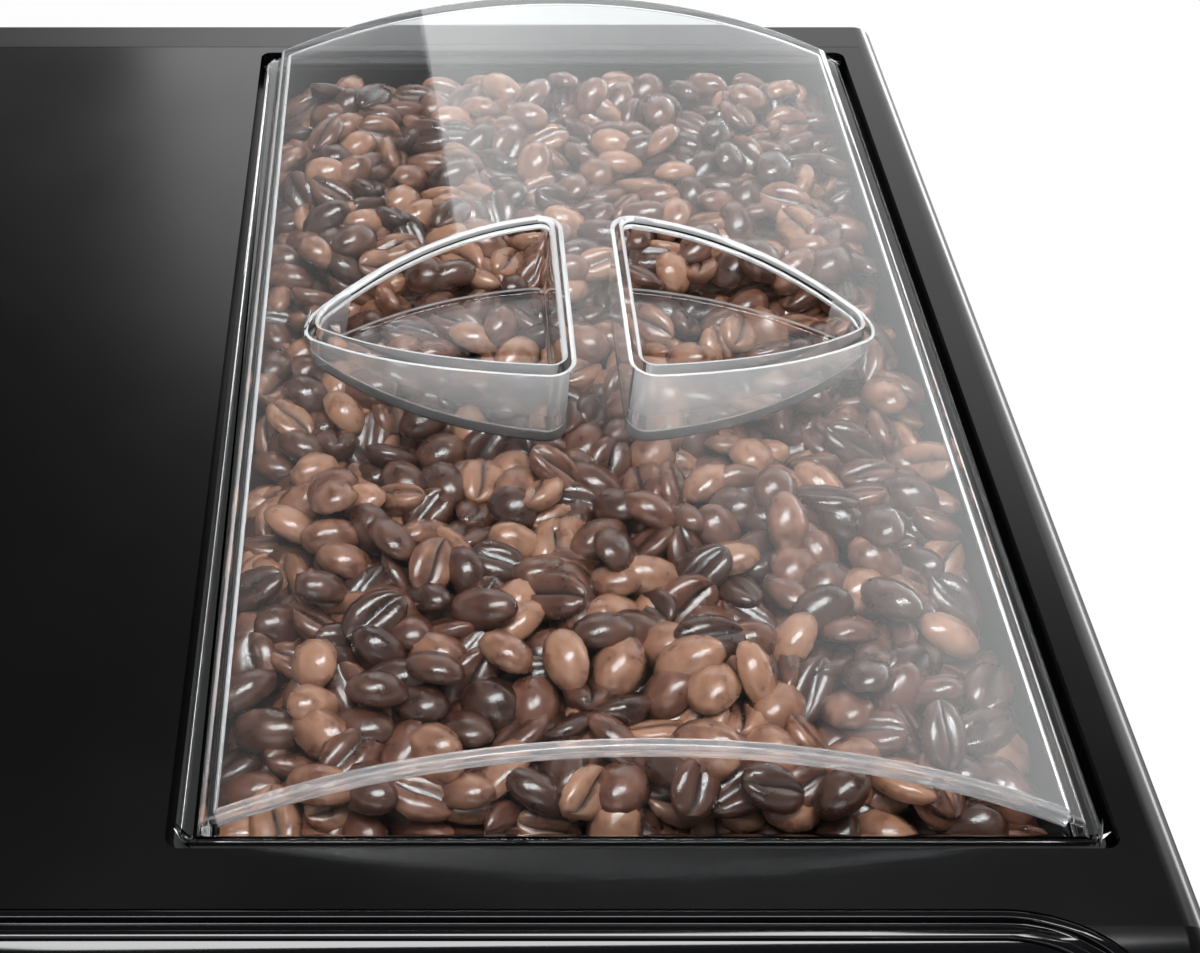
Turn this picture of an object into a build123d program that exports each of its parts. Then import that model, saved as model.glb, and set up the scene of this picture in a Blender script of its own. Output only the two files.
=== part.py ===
from build123d import *
import os
from math import atan2, cos, degrees, radians, sin, sqrt, tan

os.makedirs("parts", exist_ok=True)

# The machine stands on z = 0 with its front towards -Y. X is to the right and Y to the back.
# All values are millimetres, and angles are degrees.

# Casing
width = 248.0
depth = 400.0
deck_height = 372.0
foot_height = 10.0
wall = 3.0
edge_radius = 6.0
seam = 0.2  # between neighbouring pieces of the casing
running_gap = 0.6  # round pieces that slide or swing
overrun = 5.0  # how far a cutting tool runs past what it cuts
screw_radius = 1.7
half = width / 2
inner = half - wall
rail = half - edge_radius
front = -depth / 2
rear = depth / 2
rear_recess = 3.0  # the rear panel lies this far inside the rear edge
rear_face = rear - rear_recess
rear_inside = rear_face - wall
strip_depth = 10.3  # strip along the rear edge of the deck
strip_front = rear - strip_depth

# Head: the upper casing that reaches out over the cup space
niche_back = -62.0
head_overhang = 56.0
head_depth = 137.0  # from the deck down to the niche's ceiling
fascia_drop = 82.0  # from the deck down to the fascia's lower edge
fascia_angle = 62.0
roll_radius = 10.0
base_top = 64.0
head_front = niche_back - head_overhang
head_bottom = deck_height - head_depth
fascia_bottom = deck_height - fascia_drop
roll_front = head_front + fascia_drop / tan(radians(fascia_angle))
roll_start = roll_front + roll_radius * tan(radians(fascia_angle / 2))

# Base
base_thickness = 4.0
base_floor = foot_height + base_thickness
foot_radius = 9.0
foot_stem = 4.0
foot_inset = 24.0

# Bean hopper and its clear lid
opening_width = 153.0
opening_side = 4.8  # from the start of the rounded right edge
opening_nose = 13.7  # from the start of the rolled front edge
opening_rear_gap = 2.7  # from the strip along the rear edge
opening_corner = 2.5
lid_gap = 1.9  # between the lid and the deck opening
lid_flange = 1.6
lid_sink = 0.6  # flange top below the deck
lid_flange_width = 3.6
lid_side_height = 2.3  # above the deck, where the arch starts
lid_rise = 17.2
lid_wall = 2.5
lid_lean = 3.4  # how far each end wall leans in
grip_length = 116.0
grip_offset = -2.2  # of the pockets' middle, towards the back of the opening
grip_depth = 47.4
grip_tip_rise = 26.2  # from the foremost point of the pockets' bowed front wall to their tips
grip_bridge_back = 15.5
grip_bridge_front = 15.5
grip_tip_corner = 4.0
grip_floor_wall = 1.8
grip_corner = 2.2
seal_height = 1.0
seal_width = 2.2
hopper_flange = 2.0
hopper_wall = 2.0
hopper_overhang = 2.5
hopper_gap = 1.0
hopper_straight = 20.0
throat_radius = 26.0
neck_height = 8.0
bean_gap = 0.3
lip_wall = 2.0
lip_depth = 12.0
ledge_width = 2.6
ledge_thickness = 2.0
opening_right = rail - opening_side
opening_left = opening_right - opening_width
opening_front = roll_start + opening_nose
opening_back = strip_front - opening_rear_gap
grip_front = (opening_front + opening_back - grip_depth) / 2 + grip_offset
grip_back = grip_front + grip_depth
grip_tips = grip_front + grip_tip_rise

# Brewing unit: its frame stands behind the niche and carries the chamber, the piston and the spindle
brew_inset = 9.0  # from the inside of the right panel
brew_width = 100.0
brew_front_room = 28.0  # behind the front of the niche's back wall
brew_axis_room = 36.0  # from the frame's front to the chamber's axis
brew_depth = 74.0
brew_drop = 92.0  # from the deck down to the frame's top
brew_plate = 4.0
piston_room = 52.0  # from the frame's top down to the piston
piston_lift = 28.0  # of the resting piston above the chamber
piston_height = 12.0
piston_neck = 6.0
piston_fit = 0.1
chamber_height = 40.0
chamber_radius = 24.0
chamber_bore = 20.0
trunnion_radius = 4.0
crosshead_height = 8.0
spindle_side = 20.0  # from the frame's right side
spindle_front = 12.0  # from the frame's front
spindle_radius = 5.0
gear_motor_side = 30.0
gear_motor_height = 14.0
gear_can_radius = 13.0
gear_can_height = 22.0
brew_right = inner - brew_inset
brew_left = brew_right - brew_width
brew_front = niche_back + brew_front_room
brew_back = brew_front + brew_depth
brew_y = brew_front + brew_axis_room
brew_top = deck_height - brew_drop
piston_bottom = brew_top - piston_room
chamber_top = piston_bottom - piston_lift
chamber_bottom = chamber_top - chamber_height
spindle_x = brew_right - spindle_side
spindle_y = brew_front + spindle_front

# Grinder, on an upright axis below the hopper
grinder_inset = 76.0  # of its axis from the inside of the right panel
grinder_drop = 72.0  # from the deck down to its top
grinder_height = 66.0
grinder_floor = 28.0  # from its underside up to the floor of the burr chamber
grinder_radius = 44.0
burr_chamber_radius = 30.0
ring_drop = 24.0  # from the top down to the seat of the adjusting ring
ring_radius = 36.0
ring_fit = 0.08
burr_radius = 27.0
burr_eye = 14.0
burr_height = 10.0
burr_gap = 0.4
tooth_count = 12
tooth_width = 2.0
tooth_depth = 1.6
shaft_radius = 5.0
shaft_fit = 0.06
motor_radius = 32.0
motor_gap = 18.0  # between the brewing unit and the grinder's motor
lever_width = 8.0
lever_height = 3.0
lever_swing = 12.0
lever_play = 3.0  # degrees past each end of its swing
lever_tip_gap = 0.8  # inside the machine's rear edge
grinder_x = inner - grinder_inset
grinder_y = brew_back + motor_gap + motor_radius
grinder_top = deck_height - grinder_drop
grinder_bottom = grinder_top - grinder_height
burr_chamber_bottom = grinder_bottom + grinder_floor
ring_seat = grinder_top - ring_drop
brew_x = grinder_x

# Inner frame, beside the water tank
tank_width = 58.6
tank_side_gap = 0.4
tank_frame_gap = 2.0
chassis_wall = 2.5
shelf_drop = 20.0  # below the brewing chamber
shelf_thickness = 3.0
tank_left = tank_side_gap - inner
tank_right = tank_left + tank_width
chassis_x = tank_right + tank_frame_gap
shelf_height = chamber_bottom - shelf_drop

# Water tank, which pulls out to the front
tank_rear_room = 54.0
tank_base_gap = 1.8
tank_top_gap = 6.0  # below the niche's ceiling
tank_wall = 2.2
tank_lid_thickness = 2.4
vent_radius = 4.0
valve_radius = 7.0
valve_rise = 14.2  # of its axis above the tank's underside
valve_length = 12.0
tank_back = rear_inside - tank_rear_room
tank_bottom = base_top + tank_base_gap
tank_top = head_bottom - tank_top_gap
valve_height = tank_bottom + valve_rise

# Drip tray, grid, float and grounds container
tray_rim_drop = 6.0
tray_wall = 2.4
tray_left_room = 8.0  # from the inner frame
tray_right_room = 5.0  # from the inside of the right panel
tray_step_gap = 2.0
grid_thickness = 3.6
grid_bar = 3.0
grid_slot = 5.0
float_radius = 6.0
float_side = 32.4  # of its axis from the tray's side
float_front = 50.0  # of its axis from the machine's front
bin_margin = 3.0  # from the left wall of the tray
bin_right_room = 9.0
bin_front_gap = 0.5
bin_rear_gap = 4.0
bin_reach = 44.0  # behind the chamber's axis
bin_top_gap = 3.6
bin_wall = 2.0
tray_bottom = base_floor + seam
tray_top = base_top - tray_rim_drop
tray_side = inner - running_gap
tray_rear_left = chassis_x + tray_left_room
tray_rear_right = inner - tray_right_room
tray_step = niche_back - tray_step_gap
bin_left = tray_rear_left + bin_margin
bin_right = inner - bin_right_room
bin_front = niche_back + bin_front_gap
bin_back = brew_y + bin_reach
bin_top = shelf_height - bin_top_gap
tray_rear = bin_back + bin_rear_gap
float_x = float_side - tray_side
float_y = front + float_front

# Coffee spout
spout_inset = 89.0  # of its middle from the inside of the right panel
spout_reach = 42.0  # in front of the head
spout_tuck = 49.0  # above the niche's ceiling
spout_length = 78.0
spout_half = 26.0
spout_wall = 2.4
nozzle_length = 16.0
nozzle_radius = 5.0
nozzle_bore = 3.0
nozzle_pitch = 24.0
runner_neck = 12.0
runner_head = 22.0
runner_thickness = 3.0
runner_height = 44.0
runner_gap = 0.2
spout_x = inner - spout_inset
spout_front = head_front - spout_reach
spout_top = head_bottom + spout_tuck
spout_bottom = spout_top - spout_length
nozzle_bottom = spout_bottom - nozzle_length

# Controls on the sloping fascia
fascia_inset = 6.3  # from the outside of the casing
fascia_corner = 27.0
fascia_lap = 2.7  # onto the flat of the deck
frame_width = 4.6
frame_depth = 4.0
groove_width = 1.9
groove_depth = 1.3
panel_drop = 0.7
panel_thickness = 3.0
button_radius = 7.0
button_gap = 0.3
button_proud = 1.0
button_travel = 1.2
button_stem = 6.0
dial_radius = 16.0
dial_height = 13.0
dial_taper = 2.0
dial_inset = 35.7  # of its axis from the side of the fascia
dial_shaft = 3.0
display_gap = 20.0  # between the display and the dial
display_height = 34.0
display_shift = 14.0  # up the slope from the middle of the fascia
button_row = -22.0
button_pitch = 30.0
power_inset = 25.7
board_depth = 16.0
board_thickness = 1.6
board_inset = 13.7
board_height = 62.0
fascia_half = half - fascia_inset
fascia_back = roll_start + fascia_lap
dial_x = fascia_half - dial_inset
display_width = 2 * (dial_x - dial_radius - display_gap)
power_x = power_inset - fascia_half
board_half = fascia_half - board_inset

# Service door in the right side panel
door_front_room = 12.0  # behind the front of the niche's back wall
door_rear_room = 20.5  # behind the brewing unit
door_rise = 8.0  # above the shelf's underside
door_gap = 0.5
pin_radius = 0.8
pin_length = 12.0
pin_fit = 0.03
door_front = niche_back + door_front_room
door_back = brew_back + door_rear_room
door_bottom = shelf_height + door_rise
door_top = grinder_top

# Pump, heater and electrics
pump_radius = 22.0
pump_left_room = 32.0  # from the inner frame
pump_right_room = 43.0  # from the inside of the right panel
pump_rear_room = 64.0
pump_z = 50.0
heater_width_share = 0.6  # of the room between the inner frame and the grinder's motor
heater_length = 76.0
heater_height = 57.0
heater_rear_room = 26.0
heater_rise = 35.0  # above the shelf's underside
hose_radius = 2.5
hose_bend = 12.0
hose_rear_room = 18.0
riser_inset = 23.0  # of the rising hose from the inside of the right panel
inlet_inset = 35.0  # from the inside of the left panel
inlet_z = 48.0
inlet_width = 28.0
inlet_height = 20.0
rocker_z = 96.0
rocker_width = 13.0
rocker_height = 19.0
supply_height = 100.0
pump_left = chassis_x + pump_left_room
pump_right = inner - pump_right_room
pump_y = rear_inside - pump_rear_room
frame_side = chassis_x + chassis_wall
heater_x = frame_side + heater_width_share * (grinder_x - motor_radius - frame_side)
heater_back = rear_inside - heater_rear_room
heater_front = heater_back - heater_length
heater_bottom = shelf_height + heater_rise
heater_top = heater_bottom + heater_height
hose_y = rear_inside - hose_rear_room
riser_x = inner - riser_inset
inlet_x = inlet_inset - inner


def block(x, y, z, mode=Mode.ADD):
    """A block between a low and a high value along each axis."""
    with Locations(((x[0] + x[1]) / 2, (y[0] + y[1]) / 2, (z[0] + z[1]) / 2)):
        return Box(x[1] - x[0], y[1] - y[0], z[1] - z[0], mode=mode)


def post(x, y, z, radius, mode=Mode.ADD):
    """An upright cylinder between a low and a high z."""
    with Locations((x, y, (z[0] + z[1]) / 2)):
        return Cylinder(radius, z[1] - z[0], mode=mode)


def rod_y(x, z, y, radius, mode=Mode.ADD):
    """A cylinder along Y between a low and a high y."""
    with Locations(Location((x, (y[0] + y[1]) / 2, z), (90, 0, 0))):
        return Cylinder(radius, y[1] - y[0], mode=mode)


def rod_x(y, z, x, radius, mode=Mode.ADD):
    """A cylinder along X between a low and a high x."""
    with Locations(Location(((x[0] + x[1]) / 2, y, z), (0, 90, 0))):
        return Cylinder(radius, x[1] - x[0], mode=mode)


def head_face(plane, inset, low):
    """Side outline of the head, drawn in from its outer skin by inset, down to a low height."""
    top = deck_height - inset
    arc = roll_radius - inset
    centre_z = deck_height - roll_radius
    lean = radians(fascia_angle)
    arc_end = (roll_start - arc * sin(lean), centre_z + arc * cos(lean))
    arc_middle = (roll_start - arc * sin(lean / 2), centre_z + arc * cos(lean / 2))
    face_y = head_front + inset
    face_z = arc_end[1] - tan(lean) * (arc_end[0] - face_y)
    with BuildSketch(plane) as section:
        with BuildLine():
            Polyline((rear, low), (rear, top), (roll_start, top))
            ThreePointArc((roll_start, top), arc_middle, arc_end)
            Polyline(arc_end, (face_y, face_z), (face_y, low), (rear, low))
        make_face()
    return section.sketch


def side_face(plane):
    """Whole side outline of the casing: the head, the upright part behind the niche and the base."""
    with BuildSketch(plane) as section:
        add(head_face(Plane.XY, 0, head_bottom))
        with Locations(((niche_back + rear) / 2, (foot_height + deck_height) / 2)):
            Rectangle(rear - niche_back, deck_height - foot_height)
        with Locations((0, (foot_height + base_top) / 2)):
            Rectangle(depth, base_top - foot_height)
    return section.sketch


def fascia_plan(plane, inset):
    """Plan of the control fascia: straight rear edge with two round corners, open to the front."""
    reach = head_front - overrun
    side = fascia_half - inset
    top = fascia_back - inset
    corner = fascia_corner - inset
    with BuildSketch(plane) as plan:
        with BuildLine():
            Polyline((-side, top - corner), (-side, reach), (side, reach), (side, top - corner))
            RadiusArc((side, top - corner), (side - corner, top), -corner)
            Line((side - corner, top), (corner - side, top))
            RadiusArc((corner - side, top), (-side, top - corner), -corner)
        make_face()
    return plan.sketch


# Side panels: a plate with the rounded rail of the casing along its top and front edges
def side_panel(sign):
    """A side panel, on the right for sign 1 and on the left for sign -1."""
    with BuildPart() as panel:
        extrude(side_face(Plane.YZ.offset(rail)), amount=edge_radius)
        outer = panel.faces().sort_by(Axis.X)[-1].edges()
        crest = [e for e in outer if e.center().Z > fascia_bottom and e.center().Y < rear - seam]
        fillet(crest, edge_radius - seam)
        extrude(head_face(Plane.YZ.offset(rail), edge_radius, head_bottom + wall), amount=edge_radius - wall,
                mode=Mode.SUBTRACT)
        block((rail, inner), (niche_back, rear + overrun), (foot_height, head_bottom + wall), Mode.SUBTRACT)
        block((rail, inner), (front - overrun, niche_back), (foot_height, base_top + overrun), Mode.SUBTRACT)
        block((rail, inner), (head_front - overrun, niche_back), (head_bottom - overrun, head_bottom + wall),
              Mode.SUBTRACT)
    return panel.part if sign > 0 else mirror(panel.part, Plane.YZ)


with BuildPart() as left_side_panel:
    add(side_panel(-1))
left_side_panel.part.label = "left_side_panel"
export_step(left_side_panel.part, "parts/left_side_panel.step")

hinge_x = half - wall / 2
hinge_y = door_back
door_bearing = wall / 2
with BuildPart() as right_side_panel:
    add(side_panel(1))
    block((inner - overrun, half + overrun), (door_front - door_gap, hinge_y + door_bearing + door_gap),
          (door_bottom - door_gap, door_top + door_gap), Mode.SUBTRACT)
    for low in (door_bottom - door_gap - pin_length / 2, door_top + door_gap):
        post(hinge_x, hinge_y, (low, low + pin_length / 2), pin_radius + pin_fit, Mode.SUBTRACT)
right_side_panel.part.label = "right_side_panel"
export_step(right_side_panel.part, "parts/right_side_panel.step")

with BuildPart() as door_hinge_pins:
    for low in (door_bottom - pin_length / 2, door_top - pin_length / 2):
        post(hinge_x, hinge_y, (low - door_gap / 2, low + pin_length - door_gap), pin_radius)
door_hinge_pins.part.label = "door_hinge_pins"
export_step(door_hinge_pins.part, "parts/door_hinge_pins.step")

finger_notch = 9.0
with BuildPart() as service_door:
    block((inner, half), (door_front, hinge_y), (door_bottom, door_top))
    post(hinge_x, hinge_y, (door_bottom, door_top), door_bearing)
    for low in (door_bottom, door_top - pin_length):
        post(hinge_x, hinge_y, (low - seam, low + pin_length + seam), pin_radius + pin_fit, Mode.SUBTRACT)
    rib = (inner - wall, inner)
    block(rib, (door_front + 2 * wall, hinge_y - 4 * wall), (door_bottom + 2 * wall, door_bottom + 3 * wall))
    block(rib, (door_front + 2 * wall, hinge_y - 4 * wall), (door_top - 3 * wall, door_top - 2 * wall))
    with Locations(Location((half, door_front, (door_bottom + door_top) / 2), (0, 90, 0))):
        Cylinder(finger_notch, wall, mode=Mode.SUBTRACT)
service_door.part.label = "service_door"
export_step(service_door.part, "parts/service_door.step")

# Base: a floor between the side panels, with rear posts for the casing screws
screw_x = inner - 3 * wall
screw_low = base_floor + 8 * wall
post_side = 10.0
with BuildPart() as base_frame:
    block((-inner, inner), (front, rear_inside), (foot_height, base_floor))
    for side in (-1, 1):
        block((side * screw_x - post_side / 2, side * screw_x + post_side / 2),
              (rear_inside - post_side, rear_inside), (base_floor, screw_low + 2 * wall))
        rod_y(side * screw_x, screw_low, (rear_inside - post_side, rear_inside + overrun),
              screw_radius + seam, Mode.SUBTRACT)
    feet = [(x * (inner - foot_inset), y * (rear - foot_inset)) for x in (-1, 1) for y in (-1, 1)]
    for x, y in feet:
        post(x, y, (foot_height, base_floor), foot_stem + seam, Mode.SUBTRACT)
base_frame.part.label = "base_frame"
export_step(base_frame.part, "parts/base_frame.step")

with BuildPart() as rubber_feet:
    for x, y in feet:
        post(x, y, (0, foot_height), foot_radius)
        post(x, y, (foot_height, base_floor - seam), foot_stem)
rubber_feet.part.label = "rubber_feet"
export_step(rubber_feet.part, "parts/rubber_feet.step")

# Rear panel, with the strip along the rear edge of the deck, vents, inlet, switch and lever slot
vent_count = 9
vent_length = 60.0
vent_height = 3.0
vent_pitch = 8.0
vent_x = 50.0
vent_low = 150.0
lever_low = ring_seat + 5 * wall
slot_half = (rear - grinder_y) * tan(radians(lever_swing)) + lever_width / 2 + 2 * running_gap
upper_screws = (tank_left + 4 * wall, chassis_x - 4 * wall)
screw_high = deck_height - 8 * wall
with BuildPart() as rear_panel:
    block((-inner, inner), (rear_inside, rear_face), (base_floor, deck_height - edge_radius))
    block((-rail, rail), (strip_front + seam, rear), (deck_height - edge_radius, deck_height))
    for row in range(vent_count):
        low = vent_low + row * vent_pitch
        block((vent_x - vent_length / 2, vent_x + vent_length / 2), (rear_inside - overrun, rear),
              (low, low + vent_height), Mode.SUBTRACT)
    block((grinder_x - slot_half, grinder_x + slot_half), (rear_inside - overrun, rear),
          (lever_low - running_gap, lever_low + lever_height + running_gap), Mode.SUBTRACT)
    block((inlet_x - inlet_width / 2 - seam, inlet_x + inlet_width / 2 + seam), (rear_inside - overrun, rear),
          (inlet_z - inlet_height / 2 - seam, inlet_z + inlet_height / 2 + seam), Mode.SUBTRACT)
    block((inlet_x - rocker_width / 2 - wall, inlet_x + rocker_width / 2 + wall), (rear_inside - overrun, rear),
          (rocker_z - rocker_height / 2 - wall, rocker_z + rocker_height / 2 + wall), Mode.SUBTRACT)
    for x in (-screw_x, screw_x):
        rod_y(x, screw_low, (rear_inside - overrun, rear), screw_radius + seam, Mode.SUBTRACT)
    for x in upper_screws:
        rod_y(x, screw_high, (rear_inside - overrun, rear), screw_radius + seam, Mode.SUBTRACT)
rear_panel.part.label = "rear_panel"
export_step(rear_panel.part, "parts/rear_panel.step")

screw_head = 3.4
screw_head_height = 1.8
screw_length = 9.0
with BuildPart() as casing_screws:
    for x, z in [(-screw_x, screw_low), (screw_x, screw_low)] + [(x, screw_high) for x in upper_screws]:
        rod_y(x, z, (rear_face, rear_face + screw_head_height), screw_head)
        rod_y(x, z, (rear_face - screw_length, rear_face), screw_radius)
casing_screws.part.label = "casing_screws"
export_step(casing_screws.part, "parts/casing_screws.step")

# Deck: one moulding with the hopper opening, its hanging lip and ledge, and the sloping head front
opening_x = (opening_left + opening_right) / 2
opening_y = (opening_front + opening_back) / 2
opening_length = opening_back - opening_front


def opening_face(height, grow):
    """The rounded outline of the hopper opening at a height, larger all round by grow."""
    with BuildSketch(Plane.XY.offset(height)) as outline:
        with Locations((opening_x, opening_y)):
            RectangleRounded(opening_width + 2 * grow, opening_length + 2 * grow, opening_corner + max(grow, 0))
    return outline.sketch


deck_under = deck_height - wall
ledge_top = deck_height - lid_sink - lid_flange - seal_height - hopper_flange
with BuildPart() as deck_cover:
    extrude(head_face(Plane.YZ.offset(-rail), 0, head_bottom), amount=2 * rail)
    extrude(head_face(Plane.YZ.offset(-rail), wall, head_bottom), amount=2 * rail, mode=Mode.SUBTRACT)
    block((-rail, rail), (head_front, rear), (head_bottom, fascia_bottom), Mode.SUBTRACT)
    block((-rail, rail), (strip_front, rear), (head_bottom, deck_height), Mode.SUBTRACT)
    extrude(opening_face(deck_under - lip_depth, lip_wall), amount=lip_depth)
    extrude(opening_face(deck_under - lip_depth - overrun, 0), amount=lip_depth + wall + 2 * overrun,
            mode=Mode.SUBTRACT)
    ledge_z = ledge_top - ledge_thickness
    block((opening_left - seam, opening_left + ledge_width), (opening_front, opening_back), (ledge_z, ledge_top))
    block((opening_right - ledge_width, opening_right + seam), (opening_front, opening_back), (ledge_z, ledge_top))
    extrude(fascia_plan(Plane.XY.offset(fascia_bottom - overrun), -seam),
            amount=deck_height - fascia_bottom + 2 * overrun, mode=Mode.SUBTRACT)
    low_x = upper_screws[0] - post_side / 2
    block((low_x, upper_screws[1] + post_side / 2), (strip_front - post_side, strip_front),
          (screw_high - post_side / 2, deck_under))
    for x in upper_screws:
        rod_y(x, screw_high, (strip_front - post_side, strip_front + overrun), screw_radius + seam,
              Mode.SUBTRACT)
deck_cover.part.label = "deck_cover"
export_step(deck_cover.part, "parts/deck_cover.step")

# Control fascia: a frame with a groove, and a gloss panel set into it
lean = radians(fascia_angle)
slope_middle_z = (fascia_bottom + deck_height - roll_radius * (1 - cos(lean))) / 2
slope_middle_y = head_front + (slope_middle_z - fascia_bottom) / tan(lean)
slope = Plane(origin=(0, slope_middle_y, slope_middle_z), x_dir=(1, 0, 0), z_dir=(0, -sin(lean), cos(lean)))
tall = deck_height - fascia_bottom + 2 * overrun


def fascia_layer(drop, thickness, inset):
    """A layer of the fascia: its outer face drop under the casing's skin, its outline drawn in by inset."""
    with BuildPart() as layer:
        extrude(head_face(Plane.YZ.offset(-rail), drop, head_bottom), amount=2 * rail)
        extrude(head_face(Plane.YZ.offset(-rail), drop + thickness, head_bottom), amount=2 * rail,
                mode=Mode.SUBTRACT)
        block((-rail, rail), (head_front, rear), (head_bottom, fascia_bottom + seam), Mode.SUBTRACT)
        extrude(fascia_plan(Plane.XY.offset(fascia_bottom - overrun), inset), amount=tall,
                mode=Mode.INTERSECT)
    return layer.part


with BuildPart() as fascia_frame:
    add(fascia_layer(0, frame_depth, 0))
    extrude(fascia_plan(Plane.XY.offset(fascia_bottom - overrun), frame_width), amount=tall,
            mode=Mode.SUBTRACT)
    rim = (frame_width - groove_width) / 2
    add(fascia_layer(-overrun, overrun + groove_depth, rim), mode=Mode.SUBTRACT)
    add(fascia_layer(0, frame_depth, rim + groove_width))
    extrude(fascia_plan(Plane.XY.offset(fascia_bottom - overrun), frame_width), amount=tall,
            mode=Mode.SUBTRACT)
fascia_frame.part.label = "fascia_frame"
export_step(fascia_frame.part, "parts/fascia_frame.step")

drinks = ("espresso_button", "coffee_button", "long_button", "hot_water_button")
button_places = {"power_button": (power_x, button_row)}
for place, drink in enumerate(drinks):
    button_places[drink] = ((place - (len(drinks) - 1) / 2) * button_pitch, button_row)
board_front = board_depth - board_thickness
panel_back = panel_drop + panel_thickness
column_radius = 3.0
columns = [(x * 2 * button_pitch, y * (board_height / 2 - 2 * column_radius))
           for x in (-1, 1) for y in (-1, 1)]
window_thickness = 1.6
window_ledge = 1.5
with BuildPart() as fascia_panel:
    add(fascia_layer(panel_drop, panel_thickness, frame_width + seam))
    with BuildSketch(slope.offset(-panel_back)):
        with Locations(*columns):
            Circle(column_radius)
    extrude(amount=-(board_front - panel_back))
    with BuildSketch(slope):
        with Locations(*button_places.values()):
            Circle(button_radius + button_gap)
        with Locations((dial_x, display_shift)):
            Circle(dial_shaft + button_gap)
        with Locations((0, display_shift)):
            Rectangle(display_width - 2 * window_ledge, display_height - 2 * window_ledge)
    extrude(amount=-panel_back, mode=Mode.SUBTRACT)
    with BuildSketch(slope):
        with Locations((0, display_shift)):
            Rectangle(display_width + 2 * seam, display_height + 2 * seam)
    extrude(amount=-(panel_drop + window_thickness), mode=Mode.SUBTRACT)
fascia_panel.part.label = "fascia_panel"
export_step(fascia_panel.part, "parts/fascia_panel.step")

with BuildPart() as display_window:
    with BuildSketch(slope.offset(-panel_drop)):
        with Locations((0, display_shift)):
            Rectangle(display_width, display_height)
    extrude(amount=-window_thickness)
display_window.part.label = "display_window"
export_step(display_window.part, "parts/display_window.step")

# Control board behind the fascia, with its switches, the display and the encoder of the dial
switch_size = 6.0
display_depth = board_front - panel_drop - window_thickness - seam
encoder_size = 12.0
encoder_height = 6.0
with BuildPart() as control_board:
    with BuildSketch(slope.offset(-board_front)):
        Rectangle(2 * board_half, board_height)
    extrude(amount=-board_thickness)
    with BuildSketch(slope.offset(-board_front)):
        with Locations((0, display_shift)):
            Rectangle(display_width - 4 * window_ledge, display_height - 4 * window_ledge)
    extrude(amount=display_depth - window_ledge)
    with BuildSketch(slope.offset(-board_front)):
        with Locations((dial_x, display_shift)):
            Rectangle(encoder_size, encoder_size)
    extrude(amount=encoder_height)
    stem_end = panel_drop + button_stem + button_travel
    with BuildSketch(slope.offset(-board_front)):
        with Locations(*button_places.values()):
            Rectangle(switch_size, switch_size)
    extrude(amount=board_front - stem_end - button_gap)
control_board.part.label = "control_board"
export_step(control_board.part, "parts/control_board.step")


slope_axis = Axis((0, slope_middle_y, slope_middle_z), tuple(slope.z_dir))
for name, (x, y) in button_places.items():
    place = Plane(origin=slope.from_local_coords((x, y, 0)), x_dir=slope.x_dir, z_dir=slope.z_dir)
    with BuildPart() as button:
        with BuildSketch(place.offset(button_proud - panel_drop)):
            Circle(button_radius)
        extrude(amount=-(button_proud + panel_thickness + button_gap))
        fillet(button.faces().sort_by(slope_axis)[-1].edges(), button_proud / 2)
        with BuildSketch(place.offset(-panel_back - button_gap)):
            Circle(button_radius + 3 * button_gap)
        extrude(amount=-button_proud)
        with BuildSketch(place.offset(-panel_back - button_gap - button_proud)):
            Circle(switch_size / 2)
        extrude(amount=-(panel_drop + button_stem - panel_back - button_gap - button_proud))
    button.part.label = name
    export_step(button.part, f"parts/{name}.step")

grip_count = 24
with BuildPart() as selector_dial:
    dial_plane = Plane(origin=slope.from_local_coords((dial_x, display_shift, 0)), x_dir=slope.x_dir,
                       z_dir=slope.z_dir)
    with BuildSketch(dial_plane.offset(button_gap - panel_drop)):
        Circle(dial_radius)
    extrude(amount=dial_height, taper=dial_taper)
    fillet(selector_dial.faces().sort_by(slope_axis)[-1].edges(), button_proud)
    with BuildSketch(dial_plane.offset(2 * button_gap)):
        with PolarLocations(dial_radius + button_gap, grip_count):
            Circle(button_gap * 2)
    extrude(amount=dial_height, mode=Mode.SUBTRACT)
    with BuildSketch(dial_plane.offset(button_gap - panel_drop)):
        Circle(dial_shaft)
    extrude(amount=-(board_front - encoder_height - 2 * panel_drop))
selector_dial.part.label = "selector_dial"
export_step(selector_dial.part, "parts/selector_dial.step")

# Front cover below the fascia, with the slot that guides the spout
with BuildPart() as front_cover:
    block((-rail, rail), (head_front, head_front + wall), (head_bottom, fascia_bottom))
    block((spout_x - runner_neck / 2 - runner_gap, spout_x + runner_neck / 2 + runner_gap),
          (head_front - overrun, head_front + wall + overrun),
          (head_bottom - overrun, spout_top + runner_gap), Mode.SUBTRACT)
    guide = runner_head / 2 + runner_gap
    for side in (-1, 1):
        edge = spout_x + side * guide
        block((min(edge, edge + side * wall), max(edge, edge + side * wall)),
              (head_front + wall, head_front + 2 * wall + runner_thickness), (head_bottom + wall, spout_top))
front_cover.part.label = "front_cover"
export_step(front_cover.part, "parts/front_cover.step")

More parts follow.
